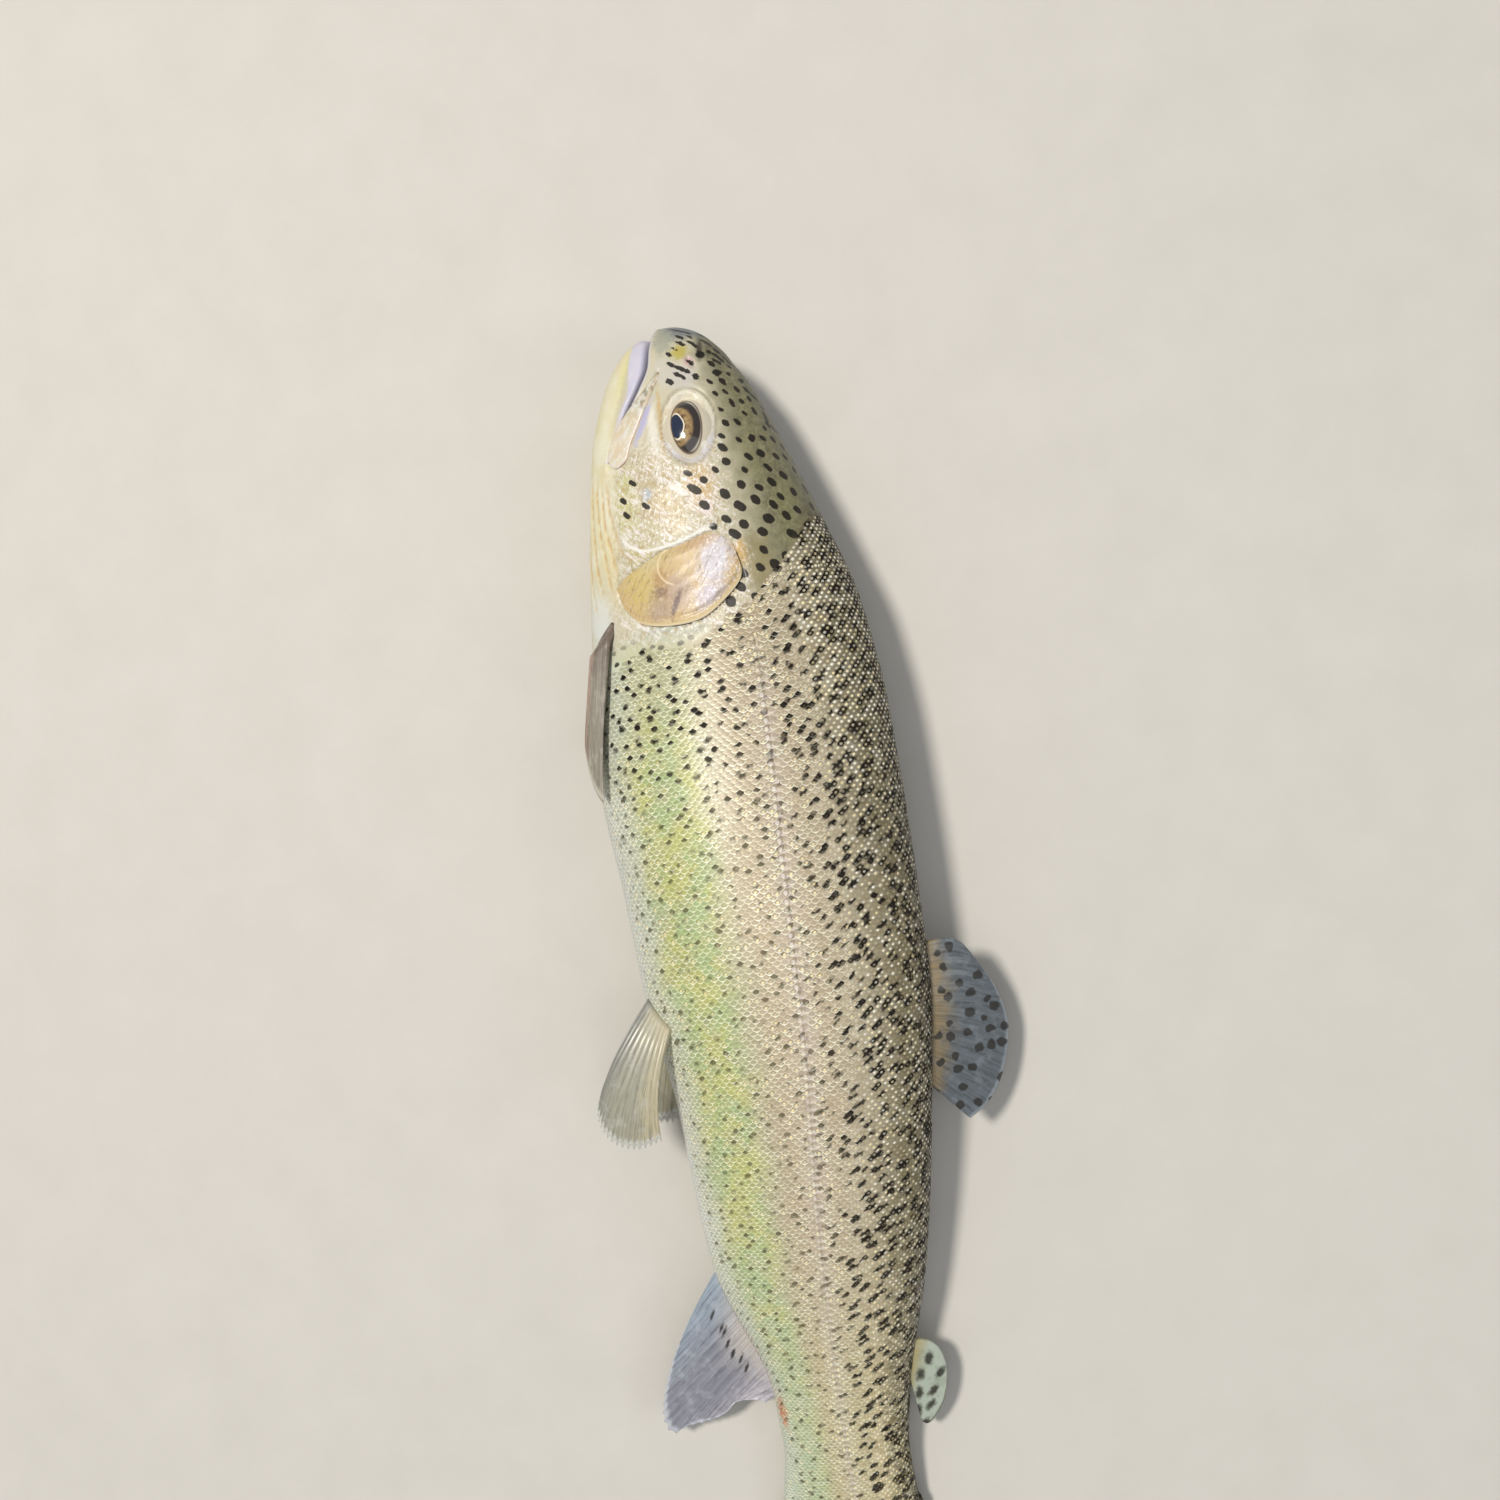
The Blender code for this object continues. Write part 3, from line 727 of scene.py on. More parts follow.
    def lateral(self, g: Graph, colour: Value, share: Value, station: Value,
                dot: Amount = 0.5) -> Value:
        """The fine pale dotted line along the flank.

        Args:
            g: the graph to build in.
            colour: the ground.
            share: 0 on the line.
            station: millimetres from the snout.
            dot: how much of a dot lies here.

        Returns:
            A colour.
        """
        away = share.call("ABSOLUTE")
        there = station.smooth(72, 92)
        dark = away.fade(0.016, 0.028) * there
        return g.layers(
            colour,
            (away.fade(0.03, 0.14) * there * 0.35, tint(226, 214, 202)),
            (dark * 0.5, tint(146, 124, 104)),
            (dark * dot, tint(252, 240, 234)),
        )

    def spots(self, g: Graph, mark: Value, share: Value, station: Value) -> tuple[Value, Value]:
        """The spots of the body.

        Args:
            g: the graph to build in.
            mark: station and millimetres over the back, as a vector.
            share: 1 at the back, 0 on the lateral line, -1 at the belly.
            station: millimetres from the snout.

        Returns:
            How strongly a spot covers the ground, and the spots' colour.
        """
        ragged = g.shift(mark, g.noise(mark, 0.5, output="Color"), 1.2)
        far, luck = g.cells(g.turned(ragged, 58, 0.42), 0.48, 0.78)
        size = share.smooth(0.0, 0.42) * 0.24 + 0.34 + station.fade(90, 150) * 0.05
        size = size * ((1.0 - luck) * 0.5 + 0.8)
        back = far.fade(size * 0.84, size * 1.12)
        beside = g.shift(ragged, g.vector(0.9, 0.2, 0.5), 3.0)
        again, fate = g.cells(g.turned(beside, 44, 0.5), 0.46, 0.85)
        more = share.smooth(0.45, 0.85) * 0.48 * ((1.0 - fate) * 0.4 + 0.8)
        back = back.call("MAXIMUM", again.fade(more * 0.84, more * 1.14) * share.smooth(0.56, 0.66))
        back = back * share.smooth(-0.06, 0.06)
        small, fate = g.cells(g.turned(ragged, 72, 0.66), 0.37, 0.75)
        reach = (1.0 - fate) * 0.16 + 0.34 + station.fade(92, 130) * 0.15
        flank = small.fade(reach * 0.7, reach * 1.25) * share.smooth(-0.86, -0.74)
        flank = flank * share.fade(-0.06, 0.06)
        body = back.call("MAXIMUM", flank) * station.smooth(44, 48)
        faint = share.fade(-0.2, 0.3) * station.smooth(90, 130)
        return body * (1.0 - faint * 0.22), g.mix(faint, self.spot, self.grey_spot)


MARKINGS = Markings()


@dataclass(frozen=True)
class HeadSpots:
    """Dark spots strewn over the top of the head, small and close on the snout, wider apart behind."""

    seed: int = 7
    tries: int = 5000
    stations: tuple[float, float] = (2.5, 68.0)
    half_turn: float = 112.0
    off_eye: float = 1.0
    off_scales: float = 1.5
    lowest: Line = ((0, 1.0), (14, -0.4), (20, -0.4), (34, 0.5), (44, 0.5), (52, 6.0))
    gap: Profile = Profile(((0, 1.9), (12, 2.1), (28, 2.5), (45, 3.3), (70, 3.5)))
    radius: Profile = Profile(((0, 0.62), (12, 0.66), (25, 0.72), (35, 0.86), (50, 1.04), (70, 1.1)))
    cheek: Line = ((37.2, -11.5), (44.2, -13.9), (40.7, -14.4), (43.2, -8.9))
    cheek_shape: tuple[float, float, float] = (0.75, 0.3, -0.6)
    reach: float = 6.0
    far: float = 9.0

    def place(self, form: Form) -> Array:
        """Strews the spots.

        Args:
            form: the body that bears them.

        Returns:
            Per spot its station, millimetres over the back, radius, half length and direction.
        """
        dice = np.random.default_rng(self.seed)
        s = dice.uniform(*self.stations, self.tries)
        angle = dice.uniform(-self.half_turn, self.half_turn, self.tries)
        t = form.surface(s, np.abs(angle))[:, 1]
        arc = np.sign(angle) * form.girth(s, np.abs(angle))
        across, down = EYE_RIM[0] + self.off_eye, EYE_RIM[1] + self.off_eye
        rim = np.hypot((s - EYE_RIM_AT[0]) / across, (t - EYE_RIM_AT[1]) / down)
        fit = (t > np.interp(s, *np.array(self.lowest).T)) & (rim > 1) & ~inside(COVER, s, t)
        fit &= Skin.behind_scales(s, t) < self.off_scales
        gap = self.gap(s) * dice.uniform(0.9, 1.2, self.tries)
        kept: list[int] = []
        for k in np.flatnonzero(fit):
            if all(math.hypot(s[k] - s[j], arc[k] - arc[j]) > (gap[k] + gap[j]) / 2 for j in kept):
                kept.append(k)
        count = len(kept)
        size = self.radius(s[kept]) * dice.uniform(0.82, 1.18, count)
        drawn_out = dice.random(count) < np.interp(s[kept], (14, 32), (0.5, 0.1))
        long = np.where(drawn_out, np.interp(s[kept], (20, 34), (1.0, 0.5)), 0.2) * size
        way = dice.uniform(-1.2, 1.2, count)
        spots = np.stack([s[kept], arc[kept], size, long, way], axis=-1)
        at, down = np.array(self.cheek).T
        own = form.girth(at, form.angle_at(at, down))
        few = np.column_stack([at, own, np.tile(self.cheek_shape, (len(at), 1))])
        return np.vstack([spots, few, few * (1, -1, 1, 1, -1)])

    def away(self, form: Form, mark: Array) -> Array:
        """Millimetres outside the nearest spot's edge; less than 0 on a spot.

        Args:
            form: the body that bears them.
            mark: (..., 3) with station and millimetres over the back.

        Returns:
            An array of the points' shape.
        """
        nearest_edge = np.full(mark.shape[:-1], self.far)
        for s, arc, radius, long, way in self.place(form):
            near = np.abs(mark[..., 0] - s) < self.reach
            ds, da = mark[near][:, 0] - s, mark[near][:, 1] - arc
            run = ds * math.cos(way) + da * math.sin(way)
            off = da * math.cos(way) - ds * math.sin(way)
            edge = np.hypot(run - np.clip(run, -long, long), off) - radius
            nearest_edge[near] = np.minimum(nearest_edge[near], edge)
        return nearest_edge


@dataclass(frozen=True)
class SkinFinish:
    """Wet bare skin, on the head and between the scales."""

    markings: Markings = MARKINGS

    def make(self) -> Material:
        """Builds the material."""
        g = Graph("trout_skin")
        mark, station, _, share = g.attribute("mark")
        place, *_ = g.attribute("place")
        _, lip, ring, fold = g.attribute("trait")
        _, white, brim_shade, away = g.attribute("stroke")
        m = self.markings
        near_snout = station.fade(8, 18) * g.noise(place, 0.5, 3).smooth(0.4, 0.6)
        crown = g.layers(
            tint(106, 104, 76),
            (g.noise(place, 0.7, 4, 0.7).smooth(0.3, 0.7), tint(152, 146, 114)),
            (g.noise(place, 0.16, 2).smooth(0.45, 0.65) * 0.5, tint(142, 138, 98)),
            (share.smooth(0.5, 0.85) * 0.5, tint(92, 96, 76)),
            (g.noise(place, 1.9, 4, 0.75).smooth(0.5, 0.62) * 0.5, tint(96, 96, 72)),
            (near_snout * 0.7, tint(84, 84, 70)),
        )
        edge = share + (g.noise(place, 0.35, 4, 0.65) - 0.5) * 0.5
        head = m.paint(g, g.mix(edge.smooth(-0.12, 0.4), tint(206, 198, 172), crown), place, m.head)
        jaw = share.fade(-0.66, -0.56) * station.fade(50, 70)
        cream = g.mix(g.noise(place, 0.12, 2).smooth(0.4, 0.6), tint(236, 232, 206), tint(228, 218, 176))
        where = share.smooth(-0.75, -0.5) * edge.fade(-0.05, 0.12) * station.smooth(24, 34)
        crackle = g.noise(place, 1.3, 5, 0.75).smooth(0.5, 0.62) * where
        dim = g.noise(place, 0.8, 4, 0.7).smooth(0.5, 0.64) * where
        streak = g.noise(g.turned(place, 48, 0.22), 1.1, 4, 0.7).smooth(0.5, 0.6) * where
        streak = streak * (g.noise(g.turned(place, 48, 0.5), 0.22, 2).smooth(0.42, 0.56) * 0.75 + 0.25)
        thread = g.noise(g.turned(place, -20, 0.16), 1.6, 3, 0.6).smooth(0.56, 0.64) * where
        head = g.layers(
            head,
            (jaw * 0.75, cream),
            (crackle * 0.85, tint(250, 247, 242)),
            (dim * 0.6, tint(180, 152, 100)),
            (streak * 0.8, tint(248, 240, 240)),
            (thread * 0.4, tint(146, 128, 96)),
        )
        body = (station - share.fade(0.0, 0.75) * 24.0).smooth(46, 54)
        colour = m.lateral(g, g.mix(body, head, m.flank(g, place, share, station)), share, station)
        cover, spot = m.spots(g, mark, share, station)
        ragged = away + (g.noise(place, 0.9, 4, 0.6) - 0.5) * (station.fade(14, 30) * 0.9 + 0.55)
        on_head = ragged.fade(-0.14, 0.1)
        cover = (on_head + (cover - on_head) * body) * (1.0 - ring) * (1.0 - lip)
        lining = g.mix(g.noise(place, 0.3, 3), tint(192, 194, 220), tint(224, 216, 224))
        eyelid = g.layers(
            tint(230, 223, 202),
            (station.smooth(24, 33), tint(206, 204, 208)),
            (g.noise(place, 0.5, 4, 0.7).smooth(0.48, 0.68) * 0.7, tint(204, 184, 150)),
            (g.noise(place, 1.4, 4, 0.7).smooth(0.52, 0.64) * 0.4, tint(246, 243, 236)),
        )
        colour = g.layers(
            colour,
            (fold * g.noise(place, 0.5, 3).smooth(0.35, 0.6) * 0.7, tint(204, 160, 84)),
            (cover * 0.96, spot),
            (white * 0.9, tint(246, 244, 238)),
            (lip, lining),
            (ring * 0.94, eyelid),
            # painted shade in the groove round the eye's rim
            (brim_shade * 0.6, tint(120, 106, 80)),
        )
        fine = g.noise(place, 2.4, 3, 0.6)
        colour = g.mix(fine * 0.18, colour, g.mix(0.5, colour, (0.02, 0.02, 0.015)))
        rough = g.noise(place, 0.9, 3) * 0.25 + 0.36
        g.bump(fine * 0.5 + crackle * 0.5, 0.22, 0.00015)
        return g.finish(colour, rough, Metallic=crackle * 0.175 * (1.0 - ring), Coat_Weight=0.16,
                        Coat_Roughness=0.25, Specular_IOR_Level=0.35)


@dataclass(frozen=True)
class ScaleFinish:
    """Domed wet scales, each with a painted highlight where it would mirror the light."""

    markings: Markings = MARKINGS

    def make(self) -> Material:
        """Builds the material."""
        g = Graph("trout_scales")
        mark, station, arc, share = g.attribute("mark")
        place, *_ = g.attribute("place")
        _, length, across, _ = g.attribute("local")
        m = self.markings
        luck = g.chance(mark)
        other = g.chance(g.vector(arc, station, 3.0))
        colour = m.flank(g, place, share, station)
        upper = share.smooth(0.16, 0.46)
        varied = (luck - 0.5).call("ABSOLUTE") * (upper * 0.3 + 0.24)
        lighter = g.mix(luck.smooth(0.49, 0.51), (0.05, 0.045, 0.03), (0.95, 0.93, 0.88))
        colour = g.mix(varied, colour, lighter)
        middle = length - 0.62
        dot = (middle * middle * 9.0 + across * across * 6.0).call("SQRT")
        colour = m.lateral(g, colour, share, station, 1.0 - dot.smooth(0.8, 1.2))
        own = g.vector(station + (length - 0.4) * 0.8, arc - across * 0.6, share)
        cover, spot = m.spots(g, g.shift(own, g.vector(luck, other, 0.5), 0.5), share, station)
        sides = across.call("ABSOLUTE").smooth(0.55, 0.85) * length.smooth(0.3, 0.6) * 0.8
        rim = (length.smooth(0.7, 0.9) + sides).clamp()
        front = 1.0 - station.smooth(190, 260) * 0.75
        colour = g.mix(rim * upper * 0.55 * front, colour, g.mix(0.8, colour, (0.02, 0.018, 0.012)))
        # Pale scale rims, the scales' own lattice, broken by noise into a painted sparkle of light that is
        # strongest along the lateral line.
        crackle = g.noise(place, 0.55, 4, 0.7).smooth(0.42, 0.58) * 0.7 + other.smooth(0.35, 0.85) * 0.5
        along = 1.0 - share.call("ABSOLUTE").smooth(0.04, 0.24)
        pale = rim * (1.0 - upper * (0.8 - station.smooth(200, 260) * 0.6)) * crackle * (along * 0.2 + 0.8)
        # Painted highlight: a bright spot near each scale's middle on a share of the scales, larger at the
        # shoulder and gold towards the tail, standing in for the light each wet scale mirrors.
        slant = length - 0.6 + across * 0.16
        far = (slant * slant * 16.0 + across * across * 5.0).call("SQRT")
        lower = other.smooth(0.82, 0.92) * 0.8 + along * other.smooth(0.5, 0.7) * 0.5
        chosen = luck.smooth(0.3, 0.56) * upper + lower * (1.0 - upper)
        glint_swell = station.fade(80, 130) * upper * 0.14
        glint = (1.0 - (far - glint_swell).smooth(0.5, 0.84)) * (chosen + glint_swell * 3.0).clamp()
        gold = station.smooth(225, 275) * share.smooth(0.3, 0.6)
        colour = g.layers(
            colour,
            ((1.0 - rim) * (1.0 - upper * 0.5) * (0.28 + other * 0.2), (0.14, 0.12, 0.07)),
            (pale, g.mix(luck, tint(252, 250, 236), tint(244, 242, 208))),
            (cover * (1.0 - pale * 0.35), spot),
            # the painted highlights, laid over the ground and held back on the spots
            (glint * (1.0 - cover * (0.9 - upper * 0.42)),
             g.mix(other * (1.0 - gold) + gold, tint(255, 254, 246), tint(255, 236, 176))),
        )
        bare = 1.0 - cover
        g.bump((length * 60.0).call("SINE") * 0.4 + g.noise(place, 4.0, 2), 0.15, 0.00006)
        rough = cover * 0.2 + luck * 0.16 + 0.34
        return g.finish(colour, rough, Metallic=bare * 0.05, Coat_Weight=bare * 0.16, Coat_Roughness=0.24,
                        Specular_IOR_Level=0.2)


# ---------------------------------------------------------------- meshes


def store(mesh: bpy.types.Mesh, key: str, values: Array, kind: str = "FLOAT_VECTOR") -> None:
    """Stores numbers on a mesh's points."""
    layer = mesh.attributes.new(key, kind, "POINT")
    slot = "vector" if kind == "FLOAT_VECTOR" else "value"
    layer.data.foreach_set(slot, np.ascontiguousarray(values, np.float32).ravel())


def stored(mesh: bpy.types.Mesh, key: str) -> Array:
    """The vectors stored on a mesh's points."""
    values = np.zeros(len(mesh.vertices) * 3, np.float32)
    mesh.attributes[key].data.foreach_get("vector", values)
    return values.reshape(-1, 3)


def mesh_piece(name: str, points: Array, faces: Faces, material: Material,
               **attributes: Array) -> Piece:
    """A smooth closed mesh in the shared frame.

    Args:
        name: the piece's name.
        points: (n, 3) in metres.
        faces: lists of point numbers.
        material: its finish.
        attributes: (n, 3) vectors stored on the points, by name.

    Returns:
        The object.
    """
    mesh = bpy.data.meshes.new(name)
    mesh.from_pydata(np.asarray(points, float).tolist(), [], [list(map(int, f)) for f in faces])
    for key, value in attributes.items():
        store(mesh, key, value)
    mesh.shade_smooth()
    mesh.materials.append(material)
    bm = bmesh.new()
    bm.from_mesh(mesh)
    bmesh.ops.recalc_face_normals(bm, faces=bm.faces)
    bm.to_mesh(mesh)
    bm.free()
    found = bpy.data.objects.new(name, mesh)
    bpy.context.scene.collection.objects.link(found)
    return found


def grid_faces(rows: int, columns: int, start: int = 0, closed: bool = False) -> Faces:
    """Quads of a grid whose points are numbered row by row."""
    last = columns if closed else columns - 1
    return [
        (start + r * columns + c, start + (r + 1) * columns + c,
         start + (r + 1) * columns + (c + 1) % columns, start + r * columns + (c + 1) % columns)
        for r in range(rows - 1) for c in range(last)
    ]


def rim_of(rows: int, columns: int) -> list[int]:
    """Point numbers round the edge of a grid, in order."""
    ring = list(range(columns)) + [r * columns + columns - 1 for r in range(1, rows)]
    ring += [rows * columns - 1 - c for c in range(1, columns)]
    return ring + [r * columns for r in range(rows - 2, 0, -1)]


def ring_faces(a: Sequence[int], b: Sequence[int]) -> Faces:
    """Quads between two closed rings of point numbers."""
    return [(a[k], b[k], b[(k + 1) % len(a)], a[(k + 1) % len(a)]) for k in range(len(a))]


def sheet_faces(rows: int, columns: int) -> Faces:
    """Faces of a thin closed sheet: a grid on top, one under it and the rim between."""
    size, ring = rows * columns, rim_of(rows, columns)
    under = [tuple(reversed(f)) for f in grid_faces(rows, columns, size)]
    rim = [(a, b, b + size, a + size) for a, b in zip(ring, ring[1:] + ring[:1])]
    return [*grid_faces(rows, columns), *under, *rim]


def per_point(*layers: Array) -> Array:
    """Three numbers for each point, from arrays that fit one another."""
    return np.stack(np.broadcast_arrays(*layers), axis=-1).reshape(-1, 3)


def settle(piece: Piece, slot: str, *nodes: str) -> Piece:
    """Puts a piece in the frame, for the nodes it stands for."""
    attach(piece, "root")
    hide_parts(*nodes)
    log.info("%s: %d points, %d faces", piece.name, len(piece.data.vertices), len(piece.data.polygons))
    return piece


def flank_piece(side: Side, name: str, slot: str, node: str, points: Array, faces: Faces,
                material: Material, **attributes: Array) -> Piece:
    """A piece made for the left flank, set on the wanted one and put in the frame.

    Args:
        side: the wanted flank.
        name: the piece's name.
        slot: the finish's slot; not used.
        node: the node it stands for.
        points: (n, 3) in the fish's terms, on the left flank.
        faces: lists of point numbers.
        material: its finish.
        attributes: (n, 3) vectors stored on the points, by name.

    Returns:
        The object.
    """
    laid = FORM.lay(points * (1.0, 1.0, side.value), 0.1)
    return settle(mesh_piece(name, laid, faces, material, place=points, **attributes), slot, node)


@dataclass
class Skin:
    """One skin over head, jaws, trunk and tail stem, with a real open mouth."""

    form: Form = FORM
    upper: int = 166
    lower: int = 90
    inner: int = 22
    bare: float = 0.12
    coat: float = 0.3
    clearance: float = 0.3
    head_step: float = 0.42
    trunk_step: float = 1.5

    def stations(self) -> tuple[Array, int]:
        """Stations of the rings, and the number of the ring where the mouth ends."""
        front = self.form.snout_round * (1 - np.cos(np.radians(np.linspace(8, 84, 18))))
        count = int((MOUTH_END - front[-1]) / self.head_step)
        mouth = np.linspace(front[-1] + self.head_step, MOUTH_END, count)
        head = np.arange(MOUTH_END + self.head_step, 76, self.head_step)
        trunk = np.arange(head[-1] + self.trunk_step, self.form.end, self.trunk_step)
        return np.concatenate([front, mouth, head, trunk, [self.form.end]]), len(front) + count - 1

    def relief(self, s: Array, t: Array, angle: Array) -> Array:
        """Millimetres the skin stands over the body's plain surface.

        Args:
            s: stations.
            t: heights.
            angle: degrees round the body.

        Returns:
            An array of the same shape.
        """
        d = -self.bare - (self.coat - self.bare) * smooth(-1.0, 3.0, self.behind_scales(s, t))
        d = d + self.orbit(s, t) + self.nostril(s, t)
        away, where = nearest(COVER_FRONT, s, t)
        covered = inside(COVER, s, t)
        ridge = between(0.02, 0.1, 0.86, 0.98, where)
        d = d + np.where(covered, 0.0, 0.22 * hump(away, 0.45, 0.8)) * ridge
        d = d + np.where(covered, -1.35 * smooth(0.0, 0.5, away), 0.0)
        rear, _ = nearest(COVER_REAR, s, t)
        d = d - np.where(covered, 0.0, 0.3 * fall(0.4, 3.5, rear) * smooth(56, 62, s))
        bar, at = nearest(MAXILLA_LINE, s, t)
        beside = bar - MAXILLA_HALF(at)
        d = d - 0.5 * fall(-0.35, 0.25, beside)
        d = d + 0.2 * hump(beside, 1.5, 0.7) * smooth(0.1, 0.3, at) * smooth(-20, -4, t)
        d = d + self.folds(s, t)
        d = d - 0.5 * hump(angle, 180.0, 3.0) * between(20, 30, 46, 60, s)
        d = d - 0.16 * hump(t - self.form.lateral_line(s), 0.0, 0.5) * smooth(70, 80, s)
        d = d + 0.14 * np.sin(s * 0.55 + t * 0.25) * hump(s, 42, 8) * hump(t, -5, 9) * (1 - covered)
        brow = 0.3 * hump(s, 26, 9) * hump(t, 11.5, 1.8)
        return d + brow - 0.2 * hump(s, 26, 10) * hump(t, 14.8, 2.2)

    @staticmethod
    def behind_scales(s: Array, t: Array) -> Array:
        """Signed millimetres behind the line where the scales begin."""
        away, _ = nearest(SCALE_START, s, t)
        edge = np.interp(-t, -SCALE_START[:, 1], SCALE_START[:, 0])
        return np.where(s > edge, away, -away)

    @staticmethod
    def lid(s: Array, t: Array) -> tuple[Array, Array]:
        """How far out a point lies of the eye's rim and of the eye's opening; both are 1 on the line."""
        rim = np.hypot((s - EYE_RIM_AT[0]) / EYE_RIM[0], (t - EYE_RIM_AT[1]) / EYE_RIM[1])
        hole = np.hypot((s - EYE_AT[0]) / EYE_HOLE[0], (t - EYE_AT[1]) / EYE_HOLE[1])
        return rim, hole

    def orbit(self, s: Array, t: Array) -> Array:
        """The eye's rim, the pale lid that rises to the eyeball, and the socket."""
        rim, hole = self.lid(s, t)
        q = 1 - ((s - EYE_AT[0]) / BALL[0]) ** 2 - ((t - EYE_AT[1]) / BALL[1]) ** 2
        ball = BALL_PROUD - BALL[2] * (1 - np.sqrt(np.maximum(q, 0.0)))
        rise = 1 - smooth(0.1, 1.0, np.clip((rim - 0.5) / 0.5, 0, 1))
        lid = (np.maximum(ball, -1.0) + 0.3) * rise
        d = np.where(rim < 1, lid, 0.0) - 0.34 * hump(rim, 1.0, 0.05) + 0.14 * hump(rim, 1.12, 0.07)
        open_share = 1 - smooth(0.86, 1.14, hole)
        return d * (1 - open_share) + (ball - 0.9) * open_share

    @staticmethod
    def nostril(s: Array, t: Array) -> Array:
        """Two small openings with a flap between."""
        d = 0.3 * hump(np.hypot(s - 11.2, t - 4.9), 1.1, 0.6)
        for cs, ct in ((10.6, 4.4), (12.3, 5.5)):
            d = d - 0.7 * hump(np.hypot(s - cs, t - ct), 0.0, 0.55)
        return d

    @staticmethod
    def fold_lines(s: Array, t: Array) -> Iterator[tuple[Array, Array]]:
        """For each fold under the gill cover, the distance from it and how strong it is there."""
        for line in FOLDS:
            away, where = nearest(line, s, t)
            yield away, between(0.0, 0.2, 0.85, 1.0, where)

    def folds(self, s: Array, t: Array) -> Array:
        """The folded skin and thin bones under the gill cover."""
        return sum(strong * (0.12 * hump(away, 0.8, 0.5) - 0.2 * hump(away, 0.0, 0.4))
                   for away, strong in self.fold_lines(s, t))

    def traits(self, s: Array, t: Array, jaw: bool) -> tuple[Array, Array]:
        """Shares of the skin's traits at each point.

        Args:
            s: stations.
            t: heights.
            jaw: whether the points belong to the lower jaw.

        Returns:
            Lip lining, eyelid and fold; then the cheek's white line, the painted shade in the groove round
            the eye's rim, and the distance from a spot, far until it is known.
        """
        rim, _ = self.lid(s, t)
        ring = 1 - smooth(0.93, 1.03, rim)
        folds = [strong * fall(0.05, 0.55, away) for away, strong in self.fold_lines(s, t)]
        band = LIP_BAND(s)
        lip = smooth(band - 0.35, band + 0.25, t) * fall(20.0, 23.0, s) * float(jaw)
        away, where = nearest(CHEEK_LINE, s, t)
        white = fall(0.15, 0.55, away) * between(0.0, 0.12, 0.88, 1.0, where)
        # Painted shade: a dark line in the groove round the eye's rim, stronger above and below the eye.
        brim_shade = hump(rim, 1.0, 0.035) * (0.35 + 0.65 * smooth(-2.0, 4.0, np.abs(t - EYE_RIM_AT[1])))
        far = np.full_like(s, HeadSpots.far)
        return np.stack([lip, ring, np.max(folds, axis=0)], axis=-1), np.stack([white, brim_shade, far], axis=-1)

    def outer(self, s: Array, angle: Array, jaw: bool) -> tuple[Array, Array, Array, Array]:
        """Skin points on the outside, with their marks and traits.

        Args:
            s: stations, one per ring.
            angle: (rings, points) degrees round the body.
            jaw: whether the points belong to the lower jaw.

        Returns:
            Points, marks, traits and strokes, each (rings, points, 3).
        """
        s = np.broadcast_to(s[:, None], angle.shape)
        plain = self.form.surface(s, angle)
        lift = self.relief(s, plain[..., 1], angle) * smooth(0.0, 2.0, s)
        points = plain + self.form.normal(s, angle) * lift[..., None]
        points[..., 0] -= self.form.fork(s, points[..., 1])
        if jaw:
            u = np.clip((s - JAW_FRONT) / JAW_ROUND, 0, 1)
            round_off = np.sqrt(1 - (1 - u) ** 2)[..., None]
            axis = np.stack([s, np.full_like(s, JAW_AXIS), np.zeros_like(s)], axis=-1)
            points = axis + (points - axis) * round_off
        trait, stroke = self.traits(s, plain[..., 1], jaw)
        mark = self.form.marks(s, angle)
        stroke[..., 2] = HeadSpots().away(self.form, mark)
        return points, mark, trait, stroke

    def build(self, material: Material) -> Piece:
        """Builds the skin.

        Args:
            material: the skin's finish.

        Returns:
            The object.
        """
        stations, end = self.stations()
        form = self.form
        shut = float(form.angle_at(np.array(45.0), np.array(-19.5)))
        corner = form.angle_at(stations, UPPER_LIP(stations))
        corner = corner + (shut - corner) * smooth(36, 80, stations)
        u = np.linspace(-1, 1, self.upper + 1)
        angle_up = (corner[:, None] * -u[None, :]) % 360.0
        front = JAW_FRONT + 0.02
        jaw_s = front + (stations[: end + 1] - stations[0]) * (MOUTH_END - front) / (MOUTH_END - stations[0])
        low_s = np.concatenate([jaw_s, stations[end + 1 :]])
        low_corner = form.angle_at(low_s, LOWER_LIP(low_s))
        low_corner[end:] = corner[end:]
        v = np.linspace(0, 1, self.lower + 1)
        angle_low = 360 - low_corner[:, None] - (360 - 2 * low_corner[:, None]) * v[None, :]
        up = self.outer(stations, angle_up, False)
        low = self.outer(low_s, angle_low, True)
        low[0][end:, 0], low[0][end:, -1] = up[0][end:, -1], up[0][end:, 0]
        palate = self.lining(up[0][: end + 1, -1], up[0][: end + 1, 0], stations[: end + 1], 3.2)
        floor = self.lining(low[0][: end + 1, -1], low[0][: end + 1, 0], low_s[: end + 1], 2.7)
        floor[0][end] = palate[0][end, ::-1]
        parts = []
        for outside, (points, trait) in ((up, palate), (low, floor)):
            mark = np.repeat(outside[1][: end + 1, :1], self.inner, axis=1)
            parts.append((points, mark, trait, np.zeros_like(points)))
        self.soften(up[2], low[2], end)
        return self.join(material, end, up, low, parts[0], parts[1])

    def soften(self, upper: Array, lower: Array, end: int) -> None:
        """Lets the mouth's lining colour run out over the lips."""
        for k, share in enumerate((0.8, 0.45, 0.15)):
            for rows in (upper, lower):
                rows[:end, k, 0] = np.maximum(rows[:end, k, 0], share)
                rows[:end, -1 - k, 0] = np.maximum(rows[:end, -1 - k, 0], share)

